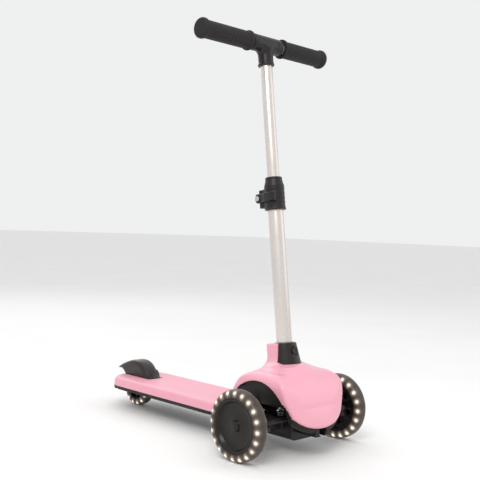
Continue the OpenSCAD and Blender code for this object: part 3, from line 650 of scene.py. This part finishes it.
def cowl(x, y, z):
    v, w = vw(y, z)
    rad = np.hypot(x, v)
    o = cowl_outer(x, y, z)
    inner = cowl_outer(x, y, z, 8.0) + SKIN
    mound = poly(rad, w, [(10, -70), (10, -37.4), (30, -37.4), (36, -39.2), (44, -43.0), (54, -51), (60, -60), (60, -70)])
    mound = np.maximum(mound, v - 30)
    body = smin(o, mound, 9)
    col = rmax(box2(x, v, (-24, -40), (24, 27), 10), w, 1.6)
    col = np.maximum(col, -62 - w)
    col = np.maximum(col, -4 - v)
    body = smin(body, col, 17)
    body = np.maximum(body, o - 60)
    f = rmax(body, -inner, 0.8)
    deck_hollow = box2(x, z, (-DW + 3.2, 10), (DW - 3.2, DT - SKIN))
    f = np.maximum(f, -np.maximum(deck_hollow, 96 - y))
    f = rmax(f, -poly(y, z, GAP), 1.1)
    f = np.maximum(f, -np.maximum(z - 46, 20 - y))
    # the socket's seat and the column's bore
    f = rmax(f, -(rad - 19.2), 0.5)
    seat = np.maximum(np.maximum(rad - 28.4, -38.3 - w), v + 4)
    f = rmax(f, -seat, 0.6)
    return rmax(f, y - 136.95, 0.5)


front_cowl = fit(field_piece("front_cowl_shell", cowl, (-82, -82, 44), (82, 137, 187), 1.45, 60), "front_cowl")


def deck(x, y, z):
    plan = np.minimum(box2(x, y, (-DW, 137.3), (DW, 436)), box2(x, y, (-18, 137.3), (18, 478)))
    plan = np.minimum(plan, np.hypot(np.abs(x) - 18, y - 436) - 42)
    s = np.clip((y - 400) / 60, 0, 1)
    r = 5.5 + 5.5 * s * s * (3 - 2 * s)
    a = rmax(plan, z - DT, r)
    a = np.maximum(a, 137.3 - y)
    slot = box2(x, y, (-19.5, 384), (19.5, 520), 3.0)
    b = rmax(a, -slot, 1.6)
    f = rmax(b, -(b + SKIN), 0.3)
    f = np.maximum(f, 46.05 - z)
    # room for the fork and the brake pin
    f = np.maximum(f, -np.maximum(np.maximum(np.abs(x) - 26.4, z - DT + SKIN), np.maximum(360 - y, y - 454.6)))
    for x0 in (50.6, 44.6):
        g = np.sqrt(np.maximum(np.abs(y - 252) - 103, 0) ** 2 + (np.abs(x) - x0) ** 2 + (z - DT - 0.45) ** 2) - 1.25
        f = rmax(f, -g, 0.35)
    return f


deck_cover = fit(field_piece("deck_cover_shell", deck, (-61, 136, 45), (61, 480, 65), (1.0, 2.0, 0.9), 60), "deck_cover")



def lining(x, y, z):
    v, w = vw(y, z)
    rad = np.hypot(x, v)
    hx = np.abs(x)
    o = cowl_outer(x, y, z, 8.0, 4.5)
    f = rmax(o + SKIN + 0.45, -(o + SKIN + 3.6), 0.4)
    f = rmax(f, -poly(y, z, [(-48, 0), (-48, 88), (64, 88), (80, 66), (93, 40), (93, 0)]), 1.0)
    f = np.maximum(f, np.where(y < -20, 42 - z, -1e3))
    f = np.maximum(f, np.where(y > 117.8, 46 - z, -1e3))
    f = np.maximum(f, y - 136.6)
    # core block with the socket's bore, and the side plates
    core = rbox(x, y, z, (-38, -18, 97), (38, 48, 170), 1.5)
    core = np.minimum(core, rbox(hx, y, z, (48, -60, 97), (52, 70, 170), 0.8))
    f = np.minimum(f, rmax(core, o + SKIN + 0.5, 0.4))
    # front lean bearing, hung from the tongue's lining, and the steering peg
    br = rbox(x, y, z, (-18, -73.5, 37), (18, -32, 49), 1.2)
    br = smin(br, rmax(np.hypot(x, z - 46) - 11, np.maximum(-41 - y, y + 32), 0.8), 1.0)
    br = np.minimum(br, rbox(x, y, z, (-13, -73.5, 37), (13, -67, 53), 0.8))
    br = np.minimum(br, np.maximum(rbox(x, y, z, (-13, -78, 48), (13, -65, 71), 0.8), o + SKIN + 0.5))
    f = np.minimum(f, br)
    f = np.minimum(f, rmax(np.hypot(x, z - 66) - 3, np.maximum(-70 - y, y + 29), 0.6))
    f = rmax(f, -np.maximum(rad - 19.05, -84.1 - w), 0.4)
    f = rmax(f, -np.maximum(np.maximum(rad - 29, -38.4 - w), v + 4), 0.4)
    f = np.maximum(f, -np.maximum(np.hypot(hx - 44, y - 126) - 5.4, 40 - z))
    f = rmax(f, -np.maximum(np.hypot(x, z - 46) - 5.05, y + 20), 0.3)
    return rmax(f, -np.maximum(np.hypot(x, z - 46) - 9.5, y + 41.1), 0.3)


if "arch_frame" in NODES:
    fit(field_piece("arch_frame_moulding", lining, (-78, -76, 36), (78, 137, 146), 1.45, 50), "arch_frame")

# ------------------------------------------------------------------ column socket and button


def socket(x, y, z):
    v, w = vw(y, z)
    rad = np.hypot(x, v)
    cone = (rad - (28 - 7 * (w + 38) / 38)) * 0.983
    cone = rmax(rmax(cone, np.maximum(w, -38 - w), 1.2), v + 4.45, 1.4)
    sleeve = rmax(rad - 19, np.maximum(w, -84 - w), 1.0)
    lip = rmax(rad - (18.4 - 2.0 * (w + 1.2) / 2.2), np.maximum(w - 1.0, -4 - w), 0.6)
    f = smin(smin(cone, sleeve, 0.8), lip, 0.6)
    f = rmax(f, -(rad - 14.05), 0.5)
    b = np.hypot(x, w + 14)
    f = rmax(f, -np.maximum(b - 9, v + 22.2), 0.7)
    f = rmax(f, -np.maximum(b - 6.65, v + 10), 0.3)
    return f


fit(field_piece("stem_socket_moulding", socket, (-29, -8, 98), (29, 46, 187), 0.95, 50), "stem_socket")
fit(lathe("release_button_cap", rounded([(-17.4, 0), (-17.4, 6.45), (-24.9, 6.45), (-25.0, 5.2), (-24.3, 4.4), (-24.1, 0)], 0.5), "y", (0, 0, -14), 64, to_row=S2row), "release_button")

# ------------------------------------------------------------------ wheels


def wheel_set(side):
    s = 1 if side == "left" else -1
    c = (s * HX, FY, RF)
    fl = s < 0
    prof = [(-12, 45.93), (-12, 47.2), (-11.5, 47.9), (-11.5, 48.6), (-12, 49.3)] + [(-4.2 + 7.8 * math.cos(math.radians(a)), 52 + 7.7 * math.sin(math.radians(a))) for a in np.linspace(180, 96, 12)]
    prof += [(-2.4, 59.93), (0, 60.0)]
    prof = prof + [(-t, r) for t, r in prof[-2::-1]]
    tyre = lathe(side + "_tyre_cast", prof, "x", c, 224, fl)
    fit(tyre, side + "_tyre")

    hp = [(-11.0, 9.6), (-11.0, 13.2), (-3.4, 14.0), (-4.0, 42.0), (-10.6, 43.2), (-10.6, 45.3), (10.4, 45.3), (10.4, 43.6), (-0.6, 42.4), (-0.2, 15), (2.4, 13.4), (2.4, 9.6)]

    def hubf(x, y, z):
        u = (x - s * HX) * s
        p, q = y, z - RF
        R = np.hypot(p, q)
        f = poly(u, R, hp) - 0.5
        th = np.arctan2(q, p)
        a = (th / (math.pi / 6)) % 1.0
        loc = (np.minimum(a, 1 - a)) * (math.pi / 6) * R
        rib = rmax(loc - 1.15, np.maximum(np.maximum(13 - R, R - 43), np.maximum(-8.6 + 0.06 * (R - 14) - u, u + 2)), 0.5)
        f = smin(f, rib, 1.6)
        b = (th / (math.pi / 3) + 0.25) % 1.0
        lb = (b - 0.5) * (math.pi / 3)
        win = np.hypot(R * np.sin(lb), R * np.cos(lb) - 28) - 5.2
        return rmax(f, -win, 0.8)

    fit(field_piece(side + "_hub_moulding", hubf, (s * HX - 13, -47, RF - 47), (s * HX + 13, 47, RF + 47), 1.0, 50), side + "_hub")
    capp = [(8.9, 0), (8.9, 3.6), (7.6, 7.2), (4.6, 7.6), (3.6, 10), (3.0, 22), (2.8, 30), (3.2, 36), (5.2, 38.8), (9.6, 41.2), (10.0, 43), (10.9, 45.4), (11.5, 45.7), (11.9, 45.2),
            (11.9, 42.6), (11.4, 41.2), (9.4, 39.8), (6.6, 37.6), (5.0, 34.8), (4.4, 30), (4.5, 22), (5.0, 14), (5.6, 10.6), (6.6, 9.6), (8.8, 8.9), (9.7, 7.4), (10.2, 5.0), (10.4, 2.4), (10.5, 0)]
    fit(lathe(side + "_hub_cap_dish", rounded(capp, 0.9, 4), "x", c, 192, fl, angle=50), side + "_hub_cap")


wheel_set("left")
wheel_set("right")

c = (0, FY + WB, RR)
prof = [(-12, 27.93), (-12, 29.0), (-11.5, 29.7), (-11.5, 30.3), (-12, 31.0)] + [(-5.0 + 7.0 * math.cos(math.radians(a)), 33 + 6.8 * math.sin(math.radians(a))) for a in np.linspace(180, 96, 12)]
prof += [(-2.6, 39.94), (0, 40.0)]
prof = prof + [(-t, r) for t, r in prof[-2::-1]]
fit(lathe("rear_tyre_cast", prof, "x", c, 176), "rear_tyre")


def rear_hubf(x, y, z):
    u, p, q = x, y - WB, z - RR
    R = np.hypot(p, q)
    hp = [(-11.5, 9.5), (-11.5, 13.1), (-2.1, 14.1), (-2.1, 24.9), (-10.6, 25.6), (-10.6, 27.4), (10.6, 27.4), (10.6, 25.6), (2.1, 24.9), (2.1, 14.1), (11.5, 13.1), (11.5, 9.5)]
    f = poly(u, R, hp) - 0.45
    th = np.arctan2(q, p)
    a = (th / (math.pi / 4)) % 1.0
    loc = np.minimum(a, 1 - a) * (math.pi / 4) * R
    rib = rmax(loc - 1.1, np.maximum(np.maximum(12.5 - R, R - 26), np.abs(u) - 7.5), 0.4)
    return smin(f, rib, 1.2)


fit(field_piece("rear_hub_moulding", rear_hubf, (-13, WB - 29, RR - 29), (13, WB + 29, RR + 29), 0.95, 50), "rear_hub")

# ------------------------------------------------------------------ mudguard and foot brake
PIN_Y, PIN_Z = 394.0, 56.5


def fender_side():
    a = arc(WB, RR, 56.5, 171, 72, 34)
    # tail that flicks back
    return a + [(WB + 27, 90.6), (WB + 36, 87), (WB + 43, 84.0), (WB + 50, 80.5), (WB + 56, 77), (WB + 60, 74.3), (WB + 60.4, 72.6), (WB + 59, 71.7), (WB + 53, 72.4), (WB + 46, 71.8), (WB + 41, 69.2), (WB + 36, 65.4), (WB + 32, 60), (WB + 30, 51.5), (WB - 54, 40)]


FSIDE = fender_side()


def fender(x, y, z):
    # the front edge is rounded in plan
    t = np.clip((WB - 6 - y) / 40, 0, 1)
    t = t * t * (3 - 2 * t)
    side = poly(y - t * (10.0 * (np.abs(x) / 18.3) ** 2.4 - 2.0), z, FSIDE)
    o = smax(side, np.abs(x) - 18.3, 9)
    R = np.hypot(y - WB, z - RR)
    inn = rmax(R - 49.2 + 5.0 * t, np.abs(x) - 15.4, 4.0)
    inn = np.minimum(inn, np.maximum(R - 45.9 + 2.0 * t, np.abs(x) - 15.4))
    f = rmax(o, -inn, 0.9)
    f = rmax(f, 61.5 - z, 0.9)
    hx = np.abs(x)
    bar = np.hypot(y - PIN_Y, z - PIN_Z)
    barrel = rmax(bar - 6, np.maximum(8 - hx, hx - 18.2), 0.8)
    web = poly(y, z, [(PIN_Y - 4, PIN_Z + 3), (PIN_Y, PIN_Z + 16), (PIN_Y + 7, PIN_Z + 23), (PIN_Y + 5, PIN_Z + 1)])
    web = rmax(web, np.maximum(8 - hx, hx - 15.6), 0.8)
    f = smin(f, smin(barrel, web, 1.5), 1.5)
    # seat that the wear pad sits in
    f = np.minimum(f, rmax(rbox(x, y, z, (-12, WB - 16, 85.6), (12, WB + 14, 92), 0.5), 45.7 - R, 0.3))
    f = np.maximum(f, 45.7 - R - 1e3 * (hx > 15.4))
    # room for the return spring
    f = np.maximum(f, -np.maximum(bar - 6.2, hx - 7.7))
    return rmax(f, -(bar - 3.05), 0.3)


fit(field_piece("foot_brake_mudguard", fender, (-19, 374, 50), (19, 501, 98), (0.95, 1.2, 0.95), 50), "fender_brake")

# ------------------------------------------------------------------ T-bar
BW = float(HI["left_grip"].x) * 1000
_g = (np.array(LO["left_grip"]) + np.array(HI["left_grip"])) * 500
BH = (float(_g[2]) - STEM_Z) / CR
BH = 550.0 if abs(BH - 550.0) < 3 else BH
CW = 240.0


def tube(name, r0, r1, w0, w1, node):
    p = [(w0, r0), (w0, r1), (w1, r1), (w1, r0)]
    return fit(lathe(name, rounded(p, 0.4, 3), "z", (0, 0, 0), 128, to_row=S2row), node)


tube("lower_tube_steel", 12.5, 14.0, -79.6, 282, "lower_tube")
tube("upper_tube_steel", 9.5, 11.0, 120, BH - 17, "upper_tube")


def column_field(f):
    def g(x, y, z):
        v, w = vw(y, z)
        return f(x, v, w)
    return g


def col_box(vlo, vhi, wlo, whi, xm):
    """local box round a region of the column frame"""
    pts = [(STEM_Y + v * CR + w * SR, STEM_Z - v * SR + w * CR) for v in (vlo, vhi) for w in (wlo, whi)]
    ys, zs = [p[0] for p in pts], [p[1] for p in pts]
    return (-xm, min(ys), min(zs)), (xm, max(ys), max(zs))


def tee(x, v, w):
    q = w - BH
    rx = np.hypot(v, q)
    rz = np.hypot(x, v)
    hx = np.abs(x)
    f = rmax(rx - 15.4, hx - 34, 1.2)
    f = smin(f, rmax(rx - 14.0, hx - 37, 1.0), 0.8)
    sleeve = rmax(rz - 14.0, np.maximum(w - BH, BH - 41 - w), 1.0)
    ring = rmax(rz - 15.3, np.maximum(w - (BH - 36.6), BH - 41 - w), 1.2)
    f = smin(f, smin(sleeve, ring, 1.2), 9)
    # a shallow moulded panel on the front and the back
    pan = rmax(box2(x, q, (-24, -8.5), (24, 8.5), 8.4), 14.7 - np.abs(v), 0.5)
    f = rmax(f, -pan, 0.5)
    f = rmax(f, -(rx - 11.03), 0.6)
    return rmax(f, -np.maximum(rz - 11.03, w - (BH - 16.9)), 0.6)


lo, hi = col_box(-16.5, 16.5, BH - 42, BH + 16.5, 38)
fit(field_piece("t_junction_moulding", column_field(tee), lo, hi, 1.0, 50), "t_junction")


def clamp(x, v, w):
    rz = np.hypot(x, v)
    a = rmax(rz - 18.5, np.maximum(w - (CW + 44), CW - w), 1.2)
    b = rmax(rz - 15.5, np.maximum(w - (CW + 60), CW + 40 - w), 1.2)
    cn = np.maximum(rz - (18.5 - 3.0 * (w - CW - 44) / 10), np.maximum(w - (CW + 54), CW + 44 - w))
    r = rmax(rz - 19.5, np.maximum(w - (CW + 3.2), CW - w), 1.0)
    f = smin(smin(a, b, 2), smin(cn, r, 1.0), 1.0)
    ear = rmax(box2(x, v, (-9, 6), (9, 32), 2.5), np.abs(w - CW - 23) - 17, 1.5)
    boss = rmax(np.hypot(v - 24, w - CW - 23) - 9.5, np.maximum(-x, x - 9), 0.8)
    f = smin(f, smin(ear, boss, 2.0), 5)
    for k in range(4):
        g = np.hypot(rz - 19.2, w - (CW + 10 + 8 * k)) - 1.3
        f = rmax(f, -np.maximum(g, v + 4), 0.4)
    f = rmax(f, -np.maximum(rz - 14.03, w - (CW + 45.3)), 0.4)
    f = rmax(f, -(rz - 11.6), 0.4)
    f = rmax(f, -np.maximum(np.abs(x) - 1.5, 8 - v), 0.4)
    f = np.maximum(f, np.maximum(x, -x) - 9.05 - 1e3 * (v < 19.6))
    return rmax(f, -(np.hypot(v - 24, w - CW - 23) - 3.03), 0.3)


lo, hi = col_box(-20, 34, CW - 1, CW + 61, 20.5)
fit(field_piece("tube_clamp_moulding", column_field(clamp), lo, hi, 1.05, 50), "tube_clamp")
LEV = [(-19.8, 28), (-19.8, 16), (-24, 4), (-25.4, -10), (-24, -22), (-20.4, -21), (-21.2, -10), (-20.2, 3), (-15.5, 15), (-15, 28)]


def lever(x, v, w):
    q = w - CW - 23
    eye = rmax(np.hypot(v - 24, q) - 7.9, np.maximum(-19.7 - x, x + 9.9), 1.0)
    arm = rmax(poly(x, v, LEV), np.abs(q) - 7.9, 0.8) - 0.0
    f = smin(eye, arm, 2.5)
    for k in range(3):
        g = np.hypot(x + 26.1, v + 8 + 4.5 * k) - 1.3
        f = rmax(f, -g, 0.3)
    return rmax(f, -(np.hypot(v - 24, q) - 3.05), 0.3)


lo, hi = col_box(-23, 34, CW + 13, CW + 33, 27)
fit(field_piece("clamp_lever_moulding", column_field(lever), (lo[0], lo[1], lo[2]), (-8, hi[1], hi[2]), 0.8, 50), "clamp_lever")

for side, s in (("left", 1), ("right", -1)):
    e = BW - 0.2
    p = [(e - 3.3, 0), (e - 3.3, 11.03), (42, 11.03), (42, 17.3), (43.0, 18.4), (45.6, 18.4), (46.6, 17.4), (48.4, 15.4)]
    for i in range(13):
        w0 = 50 + i * 7.6
        p += [(w0, 15.4), (w0 + 1.0, 16.1), (w0 + 5.0, 16.15), (w0 + 6.0, 15.4)]
    p += [(150.2, 15.4), (151.4, 17.4), (153.6, 18.4), (e - 4.2, 18.3), (e - 1.6, 16.8), (e - 0.6, 14.0), (e - 0.2, 9.0), (e, 0)]
    fit(lathe(side + "_grip_rubber", rounded(p, 0.7, 3), "x", (0, 0, BH), 96, s < 0, to_row=S2row, angle=50), side + "_grip")

# ------------------------------------------------------------------ front truck
LZ, ROD_Y, ROD_Z = 46.0, -34.0, 66.0


def beam(x, y, z):
    hx = np.abs(x)
    blk = np.minimum(box2(x, z, (-34, 36), (34, 62), 1.5), box2(x, z, (-22, 24), (22, 62), 1.5))
    blk = smin(blk, np.hypot(hx - 22, z - 36) - 12, 1.0)
    f = rmax(blk, np.maximum(-31.2 - y, y - 31.6), 1.6)
    arm = poly(hx, z, [(20, 42), (20, 61.8), (30, 61.8), (62, 69), (84, 70), (KX - 8.8, 76), (KX - 8.8, 44), (70, 48), (30, 42)])
    arm = rmax(arm, np.abs(y) - 9, 1.4)
    f = smin(f, arm, 4)
    for z0 in (44.0, 70.4):
        ear = np.minimum(np.hypot(hx - KX, y) - 10, box2(hx, y, (84.6, -9), (KX, 9), 0.5))
        f = smin(f, rmax(ear, np.maximum(z0 - z, z - z0 - 5.6), 0.8), 0.8)
    rib = rmax(box2(y, z, (-1.5, 40), (1.5, 62)), np.maximum(30 - hx, hx - 84), 0.4)
    f = np.minimum(f, rib)
    f = rmax(f, -(np.hypot(x, z - LZ) - 5.1), 0.4)
    f = rmax(f, -np.maximum(np.hypot(hx - KX, y) - 10.6, np.maximum(49.6 - z, z - 70.4)), 0.4)
    f = rmax(f, -(np.hypot(hx - KX, y) - 4.05), 0.3)
    for y0 in (-16, 16):
        f = rmax(f, -rbox(x, y, z, (-16, y0 - 8, 10), (16, y0 + 8, 34), 2.0), 0.6)
    f = rmax(f, -np.maximum(np.hypot(hx - 24, y) - 9.6, 61.2 - z), 0.5)
    # moulded panel lines on the front and rear faces of the block
    for yy in (-31.2, 31.6):
        pan = rbox(x, y, z, (-27, yy - 1.0, 50), (27, yy + 1.0, 58), 0.9)
        f = rmax(f, -pan, 0.3)
    return f


fit(field_piece("front_axle_beam_moulding", beam, (-109, -33, 22), (109, 33, 78), 1.1, 50), "front_axle_beam")


def knuckle_piece(side):
    s = 1 if side == "left" else -1

    def f0(x, y, z):
        u = (x - s * KX) * s
        b = rmax(np.hypot(u, y) - 9, np.abs(z - 60) - 10, 1.0)
        L = HX - WW - 0.4 - KX
        t = np.clip(u / L, 0, 1)
        spin = rmax(np.hypot(y, z - 60) - (9 - 1.8 * t), np.maximum(-u, u - L), 0.8)
        f = smin(b, spin, 3)
        arm = np.minimum(box2(u, y, (-5, ROD_Y), (5, 0)), np.hypot(u, y - ROD_Y) - 6)
        f = smin(f, rmax(arm, np.abs(z - 56) - 4, 0.8), 2.0)
        f = np.minimum(f, rmax(np.hypot(u, y - ROD_Y) - 3, np.abs(z - 64) - 7.4, 0.5))
        f = rmax(f, -(np.hypot(u, y) - 4.05), 0.3)
        return rmax(f, -np.maximum(np.hypot(y, z - 60) - 4.05, 6.5 - u), 0.3)

    x0, x1 = sorted((s * (KX - 10), s * (HX - WW)))
    fit(field_piece(side + "_knuckle_moulding", f0, (x0, -42, 49), (x1, 10, 72), 0.9, 50), side + "_knuckle")


knuckle_piece("left")
knuckle_piece("right")


def rod(x, y, z):
    hx = np.abs(x)
    f = rbox(x, y, z, (-KX + 4, ROD_Y - 2.5, ROD_Z - 4), (KX - 4, ROD_Y + 2.5, ROD_Z + 4), 0.8)
    f = np.minimum(f, rmax(np.hypot(hx - KX, y - ROD_Y) - 6.5, np.abs(z - ROD_Z) - 4, 0.8))
    f = smin(f, rbox(x, y, z, (-8, ROD_Y - 2.5, ROD_Z - 7), (8, ROD_Y + 2.5, ROD_Z + 7), 0.8), 1.5)
    f = smin(f, rbox(x, y, z, (-KX + 12, ROD_Y - 4, ROD_Z - 1), (KX - 12, ROD_Y + 4, ROD_Z + 1), 0.5), 1.0)
    f = rmax(f, -(np.hypot(hx - KX, y - ROD_Y) - 3.6), 0.3)
    slot = np.hypot(x, np.maximum(np.abs(z - ROD_Z) - 0.6, 0)) - 3.15
    return rmax(f, -slot, 0.3)


fit(field_piece("tie_rod_moulding", rod, (-105, -42, 58), (105, -27, 74), (1.2, 0.9, 0.9), 50), "tie_rod")


def coil(name, cx, cy, z0, z1, R, wire, turns):
    n = 40 * turns + 60
    V, F = [], []
    m = 12
    for i in range(n + 1):
        t = i / n
        a = 2 * math.pi * (turns + 1.5) * t
        # ground flat ends: the pitch closes at both ends
        e = np.clip((t * (turns + 1.5) - 0.75) / turns, 0, 1)
        zc = z0 + wire + (z1 - z0 - 2 * wire) * e
        C = np.array([cx + R * math.cos(a), cy + R * math.sin(a), zc])
        rx = np.array([math.cos(a), math.sin(a), 0])
        for k in range(m):
            b = 2 * math.pi * k / m
            V.append(C + wire * (rx * math.cos(b) + np.array([0, 0, 1]) * math.sin(b)))
    for i in range(n):
        for k in range(m):
            l = (k + 1) % m
            F.append([i * m + k, i * m + l, (i + 1) * m + l, (i + 1) * m + k])
    F.append(list(range(m))[::-1])
    F.append([n * m + k for k in range(m)])
    return mesh_obj(name, (np.array(V) + np.array([0, FY, 0])) * MM, F, 60)


sp = join("centring_spring_pair", [coil("cs_a", 24, 0, 62.4, 96.8, 7.5, 1.5, 6), coil("cs_b", -24, 0, 62.4, 96.8, 7.5, 1.5, 6)])
# each spring is held by the arch frame above and the beam below; the pair is one fixed mesh that keeps its length
sp.data.materials.clear()
sp.data.materials.append(M[SLOT["centring_springs"]])
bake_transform(sp)
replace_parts(sp, "centring_springs")

# ------------------------------------------------------------------ CAD pieces that stay: soften their edges
for n, o in NODES.items():
    if not any(n in (p.get("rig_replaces") or []) for p in bpy.data.objects):
        o.data.shade_smooth()
        o.data.set_sharp_from_angle(angle=math.radians(28))

# ------------------------------------------------------------------ studio
fm = G("floor_finish", (0.86, 0.855, 0.85))
fm.link(fm.mix(fm.ramp(fm.noise(2.5, 3, 0.5), 0.3, 0.7), (0.85, 0.845, 0.84), (0.875, 0.87, 0.865)), fm.b.inputs["Base Color"])
fm.b.inputs["Roughness"].default_value = 0.75
fm.b.inputs["Specular IOR Level"].default_value = 0.2
me = bpy.data.meshes.new("floor")
me.from_pydata([(-30, -30, 0), (30, -30, 0), (30, 30, 0), (-30, 30, 0)], [], [(0, 1, 2, 3)])
floor = bpy.data.objects.new("floor", me)
bpy.context.scene.collection.objects.link(floor)
floor.location.z = -0.0002
me.materials.append(fm.m)

world = bpy.data.worlds.new("studio")
bpy.context.scene.world = world
world.use_nodes = True
world.node_tree.nodes["Background"].inputs[0].default_value = (0.93, 0.935, 0.94, 1)
world.node_tree.nodes["Background"].inputs[1].default_value = 0.93


def area(name, loc, target, size, power, color=(1, 1, 1)):
    l = bpy.data.lights.new(name, "AREA")
    l.shape = "RECTANGLE"
    l.size, l.size_y = size
    l.energy = power
    l.color = color
    o = bpy.data.objects.new(name, l)
    bpy.context.scene.collection.objects.link(o)
    o.location = loc
    o.rotation_euler = (Vector(target) - Vector(loc)).to_track_quat("-Z", "Y").to_euler()
    return o


area("key", (-1.5, -1.1, 1.9), (0, 0, 0.15), (1.0, 1.0), 22, (1.0, 0.985, 0.965))
area("fill", (1.8, -1.6, 1.2), (0, -0.1, 0.2), (1.6, 1.6), 5, (0.97, 0.985, 1.0))
area("back", (0.6, 2.2, 1.8), (0, 0, 0.2), (1.8, 1.2), 9)
area("top", (0.1, 0.0, 2.4), (0, 0, 0.1), (2.0, 2.0), 5)

# ------------------------------------------------------------------ camera: the photograph's viewing angle, on the whole scooter
A = math.radians(-45.0)
ROLL = math.radians(2.1)
back = Vector((math.sin(A), -math.cos(A), 0))
right = Vector((math.cos(A), math.sin(A), 0))
up = back.cross(right)
rr = right * math.cos(ROLL) + up * math.sin(ROLL)
uu = up * math.cos(ROLL) - right * math.sin(ROLL)
POS = Vector((-1.066, -1.1575, 0.385))
cam = bpy.data.cameras.new("camera")
cam.sensor_width = 36.0
co = bpy.data.objects.new("camera", cam)
bpy.context.scene.collection.objects.link(co)
co.matrix_world = Matrix(((rr.x, uu.x, back.x, POS.x), (rr.y, uu.y, back.y, POS.y), (rr.z, uu.z, back.z, POS.z), (0, 0, 0, 1)))
pts = np.concatenate([np.array([v.co for v in o.data.vertices]) for o in NODES.values()]) - np.array(POS)
d = -(pts @ np.array(back))
px, py = (pts @ np.array(rr)) / d, (pts @ np.array(uu)) / d
span = max(px.max() - px.min(), py.max() - py.min())
lens = 36.0 * 0.93 / span
cam.lens = lens
cam.shift_x = (px.max() + px.min()) / 2 * lens / 36.0
cam.shift_y = (py.max() + py.min()) / 2 * lens / 36.0
cam.clip_end = 100
bpy.context.scene.camera = co
print("lens", round(lens, 2), "shift", round(cam.shift_x, 4), round(cam.shift_y, 4))
